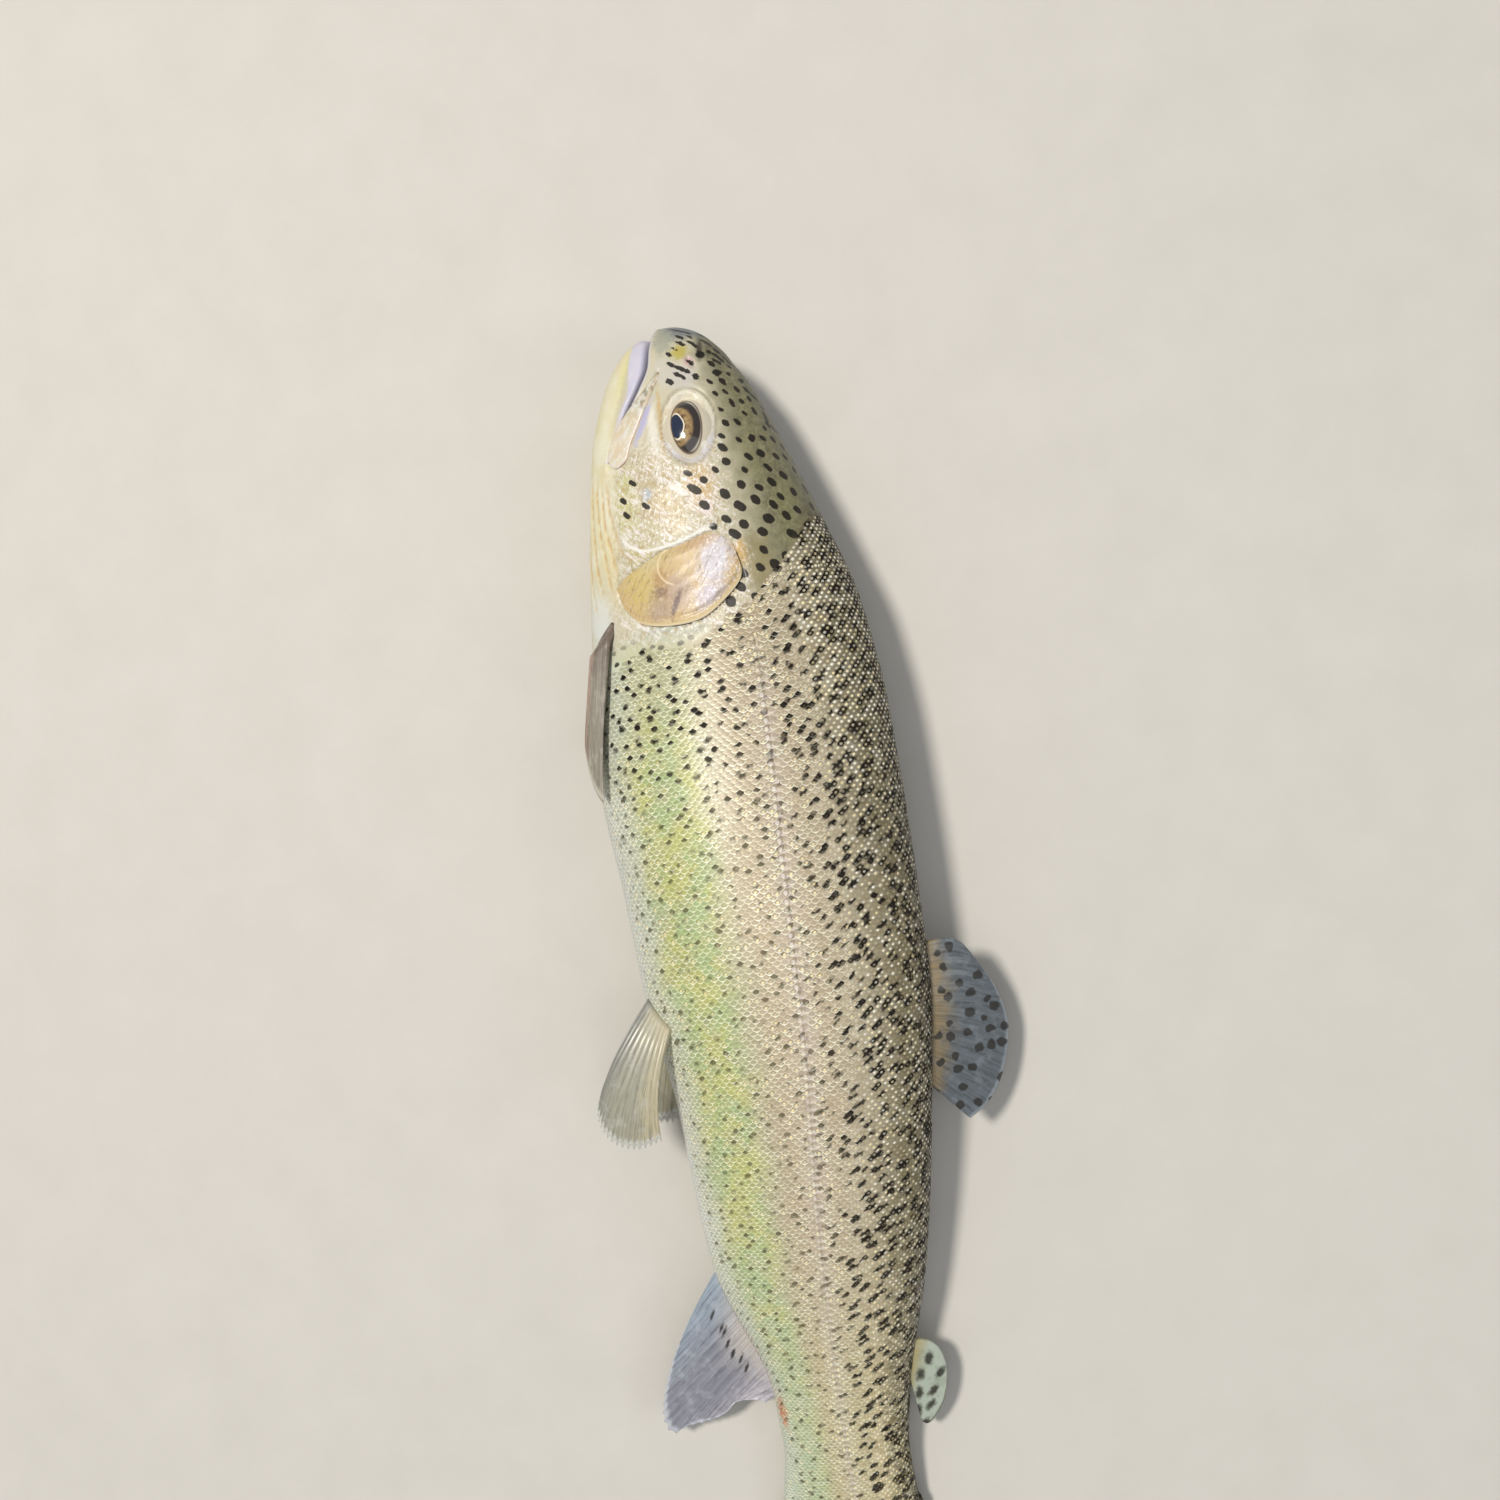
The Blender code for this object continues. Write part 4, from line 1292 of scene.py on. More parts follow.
    def lining(self, start: Array, finish: Array, s: Array, rise: float) -> tuple[Array, Array]:
        """Points inside the mouth between two lips.

        Args:
            start: (rings, 3) lip points where the lining begins.
            finish: (rings, 3) lip points where it ends.
            s: stations of the rings.
            rise: millimetres the lining rises towards the back.

        Returns:
            Points and traits, each (rings, inner, 3).
        """
        u = np.linspace(0, 1, self.inner + 2)[1:-1]
        share = 0.5 - 0.5 * np.cos(np.pi * u)
        points = start[:, None, :] + (finish - start)[:, None, :] * share[None, :, None]
        width = np.abs(finish[:, 2] - start[:, 2])
        depth = np.minimum(rise, width * 0.28) * (1 - smooth(MOUTH_END - 12, MOUTH_END, s) * 0.9)
        points[..., 1] += depth[:, None] * (np.sin(np.pi * share) ** 0.45)[None, :]
        traits = np.zeros_like(points)
        traits[..., 0] = 1.0
        return points, traits

    def join(self, material: Material, end: int, *parts: tuple[Array, ...]) -> Piece:
        """Sews the outside and the mouth's lining into one closed skin.

        Args:
            material: the skin's finish.
            end: the number of the ring where the mouth ends.
            parts: points, marks, traits and strokes of the upper and lower
                outside, the palate and the mouth's floor.

        Returns:
            The object.
        """
        up, low, palate, floor = parts
        blocks = {
            "up": up,
            "low": [layer[:, 1:-1] for layer in low],
            "lips": [layer[:end][:, [0, -1]] for layer in low],
            "palate": palate,
            "floor": [layer[:end] for layer in floor],
        }
        number: dict[str, Array] = {}
        count = 0
        for name, layers in blocks.items():
            size = layers[0][..., 0].size
            number[name] = np.arange(count, count + size).reshape(layers[0].shape[:-1])
            count += size
        data = [np.vstack([layers[k].reshape(-1, 3) for layers in blocks.values()]) for k in range(4)]
        n_up, n_low, n_lips, n_pal, n_flo = (number[k] for k in ("up", "low", "lips", "palate", "floor"))
        upper_rings, lower_rings = [], []
        for r in range(end + 1):
            upper_rings.append(list(n_up[r]) + list(n_pal[r]))
            if r < end:
                lower_rings.append([n_lips[r, 0], *n_low[r], n_lips[r, 1], *n_flo[r]])
            else:
                lower_rings.append([n_up[r, -1], *n_low[r], n_up[r, 0], *n_pal[r][::-1]])
        whole = [[*n_up[r], *n_low[r]] for r in range(end, len(up[0]))]
        faces: Faces = []
        for rings in (upper_rings, lower_rings, whole):
            for a, b in zip(rings[:-1], rings[1:]):
                faces += ring_faces(a, b)
        for ring in (upper_rings[0], lower_rings[0], whole[-1]):
            data = [np.vstack([layer, layer[ring].mean(axis=0)]) for layer in data]
            last = len(data[0]) - 1
            faces += [(ring[k], ring[(k + 1) % len(ring)], last) for k in range(len(ring))]
        points, marks, traits, strokes = data
        return mesh_piece("trout_skin", self.form.lay(points, self.clearance), faces, material,
                          mark=marks, place=points, trait=traits, stroke=strokes)


@dataclass
class ScaleCoat:
    """Overlapping scales in slanting rows over the body."""

    form: Form = FORM
    spacing: Profile = Profile(((60, 1.75), (120, 1.9), (200, 1.7), (299, 1.3)))
    row: Profile = Profile(((60, 0.86), (120, 0.92), (200, 0.82), (299, 0.62)))
    length: float = 1.5
    width: float = 2.3
    rise: float = 0.15
    dome: float = 0.07
    patch: float = 0.003
    first: float = 46.0
    head_step: float = 0.875
    trunk_start: float = 62.0
    tail_margin: float = 0.4
    root_lift: float = 0.04
    root_clearance: float = 0.32
    clearance: float = 0.04
    parts: tuple[tuple[str, float, float], ...] = (
        ("front", 0, 150), ("middle", 150, 206), ("rear", 206, 400),
    )

    def template(self, material: Material) -> Piece:
        """One closed scale, a unit long and wide, its rear edge raised."""
        rows, columns = 4, 5
        u = np.linspace(0, 1, rows)
        v = np.linspace(-1, 1, columns)
        length, across = np.meshgrid(u, v, indexing="ij")
        pull = np.sqrt(np.clip(1 - (np.clip(length - 0.35, 0, 1) / 0.66) ** 2, 0, 1)) * 0.55 + 0.45
        bow = length - 0.22 * across**2 * smooth(0.3, 1.0, length)
        x = bow - 0.4
        y = across * 0.5 * pull
        z = self.rise * length + self.dome * (1 - across**2) - 0.12
        top = np.stack([x * self.length, y * self.width, z], axis=-1).reshape(-1, 3)
        under = np.array([[0.1 * self.length, 0.0, -0.25]])
        rim = rim_of(rows, columns)
        border = list(zip(rim, rim[1:] + rim[:1]))
        faces: Faces = [tuple(reversed(f)) for f in grid_faces(rows, columns)]
        faces += [(a, b, len(top)) for a, b in border]
        local = np.vstack([per_point(length, across, across * 0), [[0.5, 0, 0]]])
        found = mesh_piece("scale", np.vstack([top, under]) * MM, faces, material, local=local)
        sharp = {frozenset(pair) for pair in border}
        for edge in found.data.edges:
            edge.use_edge_sharp = frozenset(edge.vertices) in sharp
        return found

    def roots(self, side: Side) -> tuple[Array, Array]:
        """Stations and angles of one flank's scales."""
        form = self.form
        marks = [self.trunk_start]
        while marks[-1] < form.end:
            marks.append(marks[-1] + float(self.spacing(marks[-1])) / 2)
        halves = np.concatenate([np.arange(self.first, self.trunk_start, self.head_step), marks])
        line_arc = form.girth(halves, form.angle_at(halves, form.lateral_line(halves)))
        half_girth = form.girth(halves, np.full_like(halves, 180.0))
        stations, arcs = [], []
        for j in range(-90, 91):
            pick = slice(j % 2, None, 2)
            arc = line_arc[pick] - j * self.row(halves[pick])
            good = (arc > 0.25) & (arc < half_girth[pick] - 0.2)
            stations.append(halves[pick][good])
            arcs.append(arc[good])
        s, arc = np.concatenate(stations), np.concatenate(arcs)
        rng = np.random.default_rng(5 if side is Side.LEFT else 9)
        s = s + rng.normal(0, 0.07, len(s))
        arc = np.clip(arc + rng.normal(0, 0.04, len(s)), 0.05, None)
        angle = self.angle_of(s, arc)
        point = form.surface(s, angle)
        keep = Skin.behind_scales(point[:, 0], point[:, 1]) > 0.2
        keep &= point[:, 0] - form.fork(s, point[:, 1]) < form.end - self.tail_margin
        s, angle = s[keep], angle[keep]
        return s, angle if side is Side.LEFT else 360.0 - angle

    def angle_of(self, s: Array, arc: Array) -> Array:
        """The angle a distance over the skin from the back, found by halving."""
        low, high = np.zeros_like(s), np.full_like(s, 180.0)
        for _ in range(18):
            middle = (low + high) / 2
            short = self.form.girth(s, middle) < arc
            low, high = np.where(short, middle, low), np.where(short, high, middle)
        return (low + high) / 2

    def build(self, material: Material) -> list[Piece]:
        """Builds the coat in three pieces on each flank.

        Args:
            material: the scales' finish.

        Returns:
            The objects.
        """
        template = self.template(material)
        tree = self.tree(material)
        pieces = []
        for side in Side:
            s, angle = self.roots(side)
            for part, start, finish in self.parts:
                chosen = (s >= start) & (s < finish)
                name = f"scales_{side.label}_{part}"
                pieces.append(self.piece(name, s[chosen], angle[chosen], tree, template))
        bpy.data.objects.remove(template)
        return pieces

    def piece(self, name: str, s: Array, angle: Array, tree: bpy.types.NodeTree,
              template: Piece) -> Piece:
        """One piece of the coat, its scales set on points by the node tree."""
        form = self.form
        plain, normal = form.surface(s, angle), form.normal(s, angle)
        root = plain + normal * (Skin().relief(s, plain[:, 1], angle) + self.root_lift)[:, None]
        root[:, 0] -= form.fork(s, root[:, 1])
        rear = form.surface(s + 0.5, angle) - form.surface(s - 0.5, angle)
        x = form.lay(root + rear * 0.5) - form.lay(root - rear * 0.5)
        z = form.lay(root + normal * 0.5) - form.lay(root - normal * 0.5)
        flattened = np.linalg.norm(z, axis=1, keepdims=True) < 0.4 * MM
        x, z = unit(x), unit(np.where(flattened, np.array([[0, 0, -1.0]]), z))
        y = unit(np.cross(z, x))
        turns = [Matrix(np.stack(m, axis=1).tolist()).to_quaternion() for m in zip(x, y, np.cross(x, y))]
        size = self.spacing(s) / self.spacing(0.0)
        marks = form.marks(s, angle)
        mesh = bpy.data.meshes.new(name)
        mesh.from_pydata(form.lay(root, self.root_clearance).tolist(), [], [])
        store(mesh, "turn", [list(turn) for turn in turns], "QUATERNION")
        for key, values in (
            ("size", np.stack([size] * 3, axis=1)), ("mark", marks), ("place", root),
            ("patch", self.unwrapped(marks)),
        ):
            store(mesh, key, values)
        holder = bpy.data.objects.new(name, mesh)
        bpy.context.scene.collection.objects.link(holder)
        modifier = holder.modifiers.new("scales", "NODES")
        modifier.node_group = tree
        for item in tree.interface.items_tree:
            if item.item_type == "SOCKET" and item.name == "Scale":
                modifier[item.identifier] = template
        bpy.context.view_layer.update()
        state = bpy.context.evaluated_depsgraph_get()
        grown = bpy.data.meshes.new_from_object(holder.evaluated_get(state))
        holder.modifiers.clear()
        holder.data = grown
        self.bake_map(grown)
        self.rest_on_floor(grown)
        return holder

    @staticmethod
    def unwrapped(marks: Array) -> Array:
        """Each scale's place on an unwrap of the skin, in 0 to 1."""
        flat = marks[:, :2]
        low, high = flat.min(axis=0), flat.max(axis=0)
        share = (flat - low) / np.maximum(high - low, 1e-6) * 0.98 + 0.01
        return np.concatenate([share, np.zeros((len(share), 1))], axis=1)

    def bake_map(self, mesh: bpy.types.Mesh) -> None:
        """Gives each scale a small patch of its own at its root's place."""
        own = stored(mesh, "local")[:, :2] * (1.0, 0.5) - (0.5, 0.0)
        uv = stored(mesh, "patch")[:, :2] + own * self.patch
        corners = np.zeros(len(mesh.loops), np.int32)
        mesh.loops.foreach_get("vertex_index", corners)
        layer = mesh.uv_layers.new(name="OFBake")
        layer.data.foreach_set("uv", uv[corners].astype(np.float32).ravel())

    def rest_on_floor(self, mesh: bpy.types.Mesh) -> None:
        """Keeps every point of the scales at the floor or over it."""
        points = np.zeros(len(mesh.vertices) * 3, np.float32)
        mesh.vertices.foreach_get("co", points)
        points[2::3] = np.maximum(points[2::3], self.clearance * MM)
        mesh.vertices.foreach_set("co", points)
        mesh.update()

    @staticmethod
    def tree(material: Material) -> bpy.types.NodeTree:
        """The node tree that sets a scale on every point."""
        tree = bpy.data.node_groups.new("scale_rows", "GeometryNodeTree")
        tree.interface.new_socket("Geometry", in_out="INPUT", socket_type="NodeSocketGeometry")
        tree.interface.new_socket("Scale", in_out="INPUT", socket_type="NodeSocketObject")
        tree.interface.new_socket("Geometry", in_out="OUTPUT", socket_type="NodeSocketGeometry")
        kinds = {
            "start": "NodeGroupInput", "end": "NodeGroupOutput", "scale": "GeometryNodeObjectInfo",
            "turn": "GeometryNodeInputNamedAttribute", "size": "GeometryNodeInputNamedAttribute",
            "put": "GeometryNodeInstanceOnPoints", "real": "GeometryNodeRealizeInstances",
            "dress": "GeometryNodeSetMaterial",
        }
        nodes = {name: tree.nodes.new(kind) for name, kind in kinds.items()}
        for name, data_type in (("turn", "QUATERNION"), ("size", "FLOAT_VECTOR")):
            nodes[name].data_type = data_type
            nodes[name].inputs["Name"].default_value = name
        nodes["dress"].inputs["Material"].default_value = material
        for start, output, end, socket in (
            ("start", "Geometry", "put", "Points"),
            ("start", "Scale", "scale", "Object"),
            ("scale", "Geometry", "put", "Instance"),
            ("turn", "Attribute", "put", "Rotation"),
            ("size", "Attribute", "put", "Scale"),
            ("put", "Instances", "real", "Geometry"),
            ("real", "Geometry", "dress", "Geometry"),
            ("dress", "Geometry", "end", "Geometry"),
        ):
            tree.links.new(nodes[start].outputs[output], nodes[end].inputs[socket])
        return tree


# ---------------------------------------------------------------- head parts


@dataclass(frozen=True)
class CoverFinish:
    """Smooth golden and rosy skin over the gill cover's bone."""

    patches: tuple[Patch, ...] = (
        Patch(60, -13, 8, 5, tint(204, 182, 118)),
        Patch(55.0, -9, 3.4, 6, tint(206, 192, 146), 0.9),
        Patch(58.5, -5, 4.5, 4, tint(200, 172, 118), 0.9),
        Patch(63.5, -4.0, 4.5, 5.0, tint(178, 152, 130), 0.9),
        Patch(67, -9, 3, 4, tint(176, 154, 132), 0.8),
        Patch(61, -8, 4, 2, tint(174, 138, 90), 0.7),
        Patch(58, 5, 6.4, 4.2, tint(216, 211, 219), 0.95, -0.25),
        Patch(65.5, 2.4, 3.4, 3.4, tint(206, 196, 206), 0.9, -0.6),
        Patch(53.4, 2.2, 1.6, 3.6, tint(200, 168, 134), 0.8),
        Patch(63, -8.5, 1.4, 1.8, tint(120, 96, 84), 0.6),
        Patch(66, -5.0, 3.4, 0.9, tint(92, 74, 78), 0.75, -0.5),
    )

    def make(self) -> Material:
        """Builds the material."""
        g = Graph("gill_cover")
        place, station, height, _ = g.attribute("place")
        _, rim, run, _ = g.attribute("trait")
        ground = g.mix(g.noise(place, 0.3, 3), tint(206, 180, 122), tint(196, 166, 126))
        lilac = (height + (station - 60.0) * 0.4).smooth(-2.0, 4.0)
        grain = g.noise(place, 1.6, 5, 0.75)
        silver = grain.smooth(0.5, 0.62)
        streak = g.noise(g.turned(place, -35, 0.25), 1.2, 4, 0.7).smooth(0.5, 0.66)
        dx, dy = station - 57.8, height + 3.8
        arc = ((dx * dx + dy * dy).call("SQRT") - 4.3).call("ABSOLUTE")
        # Painted shadow: a dark strip just inside the rear rim on the cover's upper half, where the rim
        # stands off the body.
        dark = rim.smooth(0.82, 0.9) * rim.fade(0.9, 0.95)
        dark = dark * run.smooth(0.5, 0.6) * run.fade(0.86, 0.92)
        colour = g.layers(
            MARKINGS.paint(g, ground, place, self.patches),
            (silver * (lilac * 0.6 + 0.15), tint(246, 244, 246)),
            (streak * 0.5, tint(126, 96, 64)),
            (arc.fade(0.08, 0.34) * height.fade(-5.6, -4.4) * 0.7, tint(236, 214, 176)),
            # the painted shadow along the upper rear rim
            (dark * 0.4, tint(96, 80, 62)),
            ((rim + (grain - 0.5) * 0.1).smooth(0.93, 0.97), tint(222, 200, 152)),
            (rim.smooth(0.965, 1.0) * 0.6, tint(236, 222, 200)),
        )
        g.bump(grain + arc.smooth(0.0, 0.5) * 0.6, 0.25, 0.00015)
        return g.finish(colour, g.noise(place, 0.8, 3) * 0.22 + 0.36, Metallic=silver * lilac * 0.2,
                        Coat_Weight=0.2, Coat_Roughness=0.25, Specular_IOR_Level=0.35)


@dataclass
class GillCover:
    """The plate over the gills, its rear rim standing off the body."""

    side: Side
    form: Form = FORM
    rows: int = 80
    columns: int = 60
    proud: float = 0.12
    sunk: float = 0.75
    thick: float = 0.5

    def build(self, material: Material) -> Piece:
        """Builds the cover."""
        u = np.linspace(0, 1, self.rows)
        v = np.linspace(0, 1, self.columns)
        front, rear = along(COVER_FRONT, u), along(COVER_REAR, u)
        front[:, 0] -= 0.4
        edge = np.minimum(np.sin(np.pi * u) * 4.5, 1.0) ** 0.5
        flat = front[:, None] + (rear - front)[:, None] * v[None, :, None]
        middle = (front + rear) / 2
        flat = middle[:, None] + (flat - middle[:, None]) * np.maximum(edge, 0.12)[:, None, None]
        s, t = flat[..., 0], flat[..., 1]
        angle = self.form.angle_at(s, t)
        plain, normal = self.form.surface(s, angle), self.form.normal(s, angle)
        rim = smooth(0.9, 1.0, v)[None, :]
        ends = 1 - smooth(0.02, 0.1, np.minimum(u, 1 - u))[:, None]
        lift = -self.sunk + (self.proud + self.sunk) * smooth(0.0, 0.16, v)[None, :] ** 0.7
        lift = lift + 0.1 * np.sin(s * 0.9 + t * 0.4) * hump(v, 0.5, 0.3)[None, :]
        lift = lift - 0.15 * hump(v, 0.9, 0.03)[None, :] - 0.35 * rim**2 - 0.3 * ends
        under = lift - self.thick * (1 - 0.75 * rim**2) - 0.1
        points = np.vstack([(plain + normal * h[..., None]).reshape(-1, 3) for h in (lift, under)])
        trait = np.tile(per_point(v[None, :], u[:, None], 0 * s), (2, 1))
        return flank_piece(self.side, f"gill_cover_{self.side.label}_skin", "face_bone",
                           f"gill_cover_{self.side.label}", points, sheet_faces(self.rows, self.columns),
                           material, trait=trait)


@dataclass(frozen=True)
class JawBoneFinish:
    """Cream and tan skin over the upper jaw bone."""

    def make(self) -> Material:
        """Builds the material."""
        g = Graph("jaw_bone")
        place, *_ = g.attribute("place")
        _, run, across, _ = g.attribute("trait")
        silver = g.noise(g.turned(place, -40, 0.3), 0.9, 4, 0.7).smooth(0.46, 0.6)
        dashes = g.noise(place, 0.75, 2).smooth(0.54, 0.6) * run.fade(0.3, 0.45)
        rim = across.call("ABSOLUTE").smooth(0.86, 1.0)
        colour = g.layers(
            tint(176, 168, 140),
            (run.smooth(0.1, 0.8), tint(220, 209, 180)),
            (g.noise(place, 0.3, 3).smooth(0.45, 0.62) * 0.35, tint(216, 184, 160)),
            (across.smooth(0.3, 0.95) * 0.5 * run.smooth(0.3, 0.5), tint(214, 196, 188)),
            (silver * 0.6, tint(226, 226, 226)),
            (g.noise(place, 0.9, 4, 0.7).smooth(0.5, 0.65) * 0.5, tint(240, 230, 206)),
            (dashes * 0.5, tint(104, 90, 74)),
            (rim * 0.5 * run.smooth(0.35, 0.6), tint(206, 156, 134)),
        )
        g.bump(g.noise(place, 1.5, 3), 0.2, 0.00012)
        return g.finish(colour, 0.4, Coat_Weight=0.25, Coat_Roughness=0.2)


@dataclass
class JawBone:
    """The bone along one side of the upper jaw."""

    side: Side
    form: Form = FORM
    rows: int = 70
    columns: int = 24

    def build(self, material: Material) -> Piece:
        """Builds the bone as a closed bar round its middle line."""
        u = np.linspace(0, 1, self.rows)
        line = along(MAXILLA_LINE, u)
        way = unit(np.gradient(line, axis=0))
        across = np.stack([-way[:, 1], way[:, 0]], axis=1)
        half = MAXILLA_HALF(u) * np.sqrt(np.clip(1 - np.clip((u - 0.86) / 0.14, 0, 1) ** 2, 0.02, 1))
        half = half * np.sqrt(np.clip(u / 0.05, 0.05, 1))
        turn = np.linspace(0, 2 * np.pi, self.columns, endpoint=False)
        c, d = np.cos(turn), np.sin(turn)
        flat = line[:, None] + across[:, None] * (half[:, None] * c[None, :])[..., None]
        s, t = flat[..., 0], flat[..., 1]
        angle = self.form.angle_at(s, t)
        plate = np.sign(d) * np.abs(d) ** 0.6
        middle = -0.5 + 0.12 * smooth(0.2, 0.6, u) + 0.04 * np.sin(u * 20)
        lift = middle[:, None] + plate[None, :] * np.minimum(0.42, half[:, None] * 0.35)
        points = self.form.surface(s, angle) + self.form.normal(s, angle) * lift[..., None]
        points = points.reshape(-1, 3)
        faces: Faces = grid_faces(self.rows, self.columns, closed=True)
        faces += [tuple(range(self.columns)), tuple(reversed(range(len(points) - self.columns, len(points))))]
        trait = per_point(u[:, None], c[None, :], 0 * s)
        return flank_piece(self.side, f"jaw_bone_{self.side.label}", "face_bone",
                           f"maxilla_{self.side.label}", points, faces, material, trait=trait)


@dataclass(frozen=True)
class EyeFinish:
    """A wet eye: navy pupil, thin gold rim, brown and gold iris."""

    iris: tuple[float, float] = (6.3, 4.9)
    pupil: tuple[float, float] = (2.9, 1.75)

    def make(self) -> Material:
        """Builds the material."""
        g = Graph("eye")
        _, x, y, edge = g.attribute("look")
        place, *_ = g.attribute("place")
        wide = ((x / self.iris[0]) ** 2.0 + (y / self.iris[1]) ** 2.0).call("SQRT")
        narrow = self.pupil[1] * (1.0 - (x / self.pupil[0]).call("ABSOLUTE").smooth(0.0, 1.15) * 0.25)
        hole = ((x / self.pupil[0]) ** 2.0 + (y / narrow) ** 2.0).call("SQRT")
        grain = g.noise(place, 0.9, 4, 0.7)
        at = wide + (grain - 0.5) * 0.18
        colour = g.layers(
            tint(112, 80, 62),
            (at.smooth(0.42, 0.56), tint(154, 126, 84)),
            (grain.smooth(0.52, 0.66) * 0.6, tint(200, 176, 124)),
            (grain.fade(0.34, 0.47) * 0.75, tint(70, 54, 44)),
            (at.smooth(0.68, 0.8), tint(50, 42, 38)),
            (wide.smooth(0.98, 1.06), tint(216, 208, 190)),
            (hole.fade(1.08, 1.2) * (y.smooth(-1.2, 0.4) * 0.7 + 0.3), tint(250, 240, 214)),
            (1.0 - hole.smooth(0.96, 1.04), tint(30, 42, 66)),
            # Painted shade: a dark ring where the eyeball passes under the lid.
            (edge.smooth(0.8, 0.86), tint(96, 78, 60)),
            (edge.smooth(0.86, 0.93), tint(212, 202, 180)),
        )
        return g.finish(colour, 0.14, Coat_Weight=1.0, Coat_Roughness=0.03)


@dataclass
class Eye:
    """One eyeball, turned a little towards the belly."""

    side: Side
    form: Form = FORM
    around: int = 72
    down: int = 40
    turned: float = math.radians(26)
    slack: tuple[float, float, float] = (0.4, 0.3, 0.0)

    def build(self, material: Material) -> Piece:
        """Builds the eyeball."""
        station, height = np.array(EYE_AT)
        angle = self.form.angle_at(station, height)
        normal = self.form.normal(station, angle)
        centre = self.form.surface(station, angle) + normal * (BALL_PROUD - BALL[2])
        down = np.linspace(0, np.pi, self.down + 1)[1:-1]
        turn = np.linspace(0, 2 * np.pi, self.around, endpoint=False)
        ring, deep = np.sin(down)[:, None], np.cos(down)[:, None]
        ball = per_point(ring * np.cos(turn)[None, :], ring * np.sin(turn)[None, :], deep)
        ball = np.vstack([ball, [[0, 0, 1]], [[0, 0, -1]]]) * np.subtract(BALL, self.slack)
        height_axis = unit(np.cross(normal, (1.0, 0.0, 0.0)))
        length_axis = np.cross(height_axis, normal)
        points = centre + ball[:, :1] * length_axis + ball[:, 1:2] * height_axis + ball[:, 2:] * normal
        hole = np.hypot(ball[:, 0] / EYE_HOLE[0], ball[:, 1] / EYE_HOLE[1])
        look = np.stack([
            ball[:, 0],
            ball[:, 1] * math.cos(self.turned) + ball[:, 2] * math.sin(self.turned),
            hole,
        ], axis=-1)
        rows = self.down - 1
        faces: Faces = grid_faces(rows, self.around, closed=True)
        top, bottom = rows * self.around, rows * self.around + 1
        last = (rows - 1) * self.around
        faces += [(top, k, (k + 1) % self.around) for k in range(self.around)]
        faces += [(last + (k + 1) % self.around, last + k, bottom) for k in range(self.around)]
        return flank_piece(self.side, f"eyeball_{self.side.label}", "eye", f"eye_{self.side.label}", points,
                           faces, material, look=look)


# ---------------------------------------------------------------- fins


def flecks(start: tuple[float, float], finish: tuple[float, float], count: int, spread: float, seed: int,
           shape: tuple[float, float, float], colour: Colour) -> tuple[Patch, ...]:
    """A loose row of alike patches.

    Args:
        start: station and height of the first.
        finish: station and height of the last.
        count: how many.
        spread: millimetres each may stray across the row.
        seed: start of the chance numbers.
        shape: length, depth and lean of a patch.
        colour: the patches' colour.

    Returns:
        The patches.
    """
    dice = np.random.default_rng(seed)
    at = np.linspace(start, finish, count) + dice.uniform(-spread, spread, (count, 2))
    return tuple(Patch(float(s), float(t), shape[0], shape[1], colour, 0.95, shape[2]) for s, t in at)


ANAL_FLECKS = flecks((231, -25.6), (244.5, -20.6), 7, 1.0, 3, (1.5, 0.5, -0.5), tint(46, 44, 44))
ADIPOSE_BLOTCHES = (
    *flecks((246.5, 22.0), (259, 18.4), 4, 0.9, 15, (1.9, 1.2, -0.2), tint(50, 48, 34)),
    *flecks((250, 24.6), (262.4, 19.8), 4, 0.8, 4, (1.6, 1.25, -0.6), tint(50, 48, 34)),
)


@dataclass(frozen=True)
class FinFinish:
    """Thin fin skin over rays, with colours from root to edge."""

    name: str
    root: Colour
    middle: Colour
    edge: Colour
    ray: Colour
    spots: float = 0.0
    spot_size: float = 1.0
    spot_colour: Colour = tint(40, 36, 30)
    front: Colour | None = None
    rear: Colour | None = None
    patches: tuple[Patch, ...] = ()

    def make(self) -> Material:
        """Builds the material."""
        g = Graph(self.name)
        place, *_ = g.attribute("place")
        _, across, run, ridge = g.attribute("fin")
        grain = (g.noise(place, 0.5, 3) - 0.5) * 0.3
        colour = g.mix((run + grain).smooth(0.0, 0.4), self.root, self.middle)
        if self.front is not None:
            colour = g.mix(1.0 - (across + grain).smooth(0.05, 0.5), colour, self.front)
        if self.rear is not None:
            colour = g.mix((across + grain).smooth(0.6, 0.95), colour, self.rear)
        streak = g.noise(g.vector(across * 60.0, run * 1.5, 0.0), 1.0, 3).smooth(0.4, 0.65)
        broken = g.noise(g.vector(across * 40.0, run * 7.0, 2.0), 1.0, 3, 0.6).smooth(0.38, 0.62)
        colour = g.layers(
            colour,
            (ridge * 0.42 * broken * run.smooth(0.0, 0.3) + streak * 0.35, self.ray),
            (g.noise(place, 0.35, 4, 0.6).smooth(0.5, 0.7) * 0.3, self.edge),
            ((run + grain * 0.15).smooth(0.93, 0.99), self.edge),
        )
        if self.spots > 0:
            stray = g.vector(g.noise(place, 0.4), g.noise(place, 0.5), 0.5)
            far, luck = g.cells(g.shift(place, stray, 1.6), 0.24, 0.85)
            size = (1.0 - luck) * 0.6 * self.spot_size + 0.7 * self.spot_size
            cover = far.fade(size * 0.8, size * 1.1)
            cover = cover * luck.fade(self.spots, self.spots + 0.02)
            colour = g.mix(cover * 0.9, colour, self.spot_colour)
        colour = MARKINGS.paint(g, colour, place, self.patches)
        g.bump(ridge + streak * 0.5, 0.3, 0.0002)
        return g.finish(colour, 0.42, Coat_Weight=0.3, Coat_Roughness=0.2)


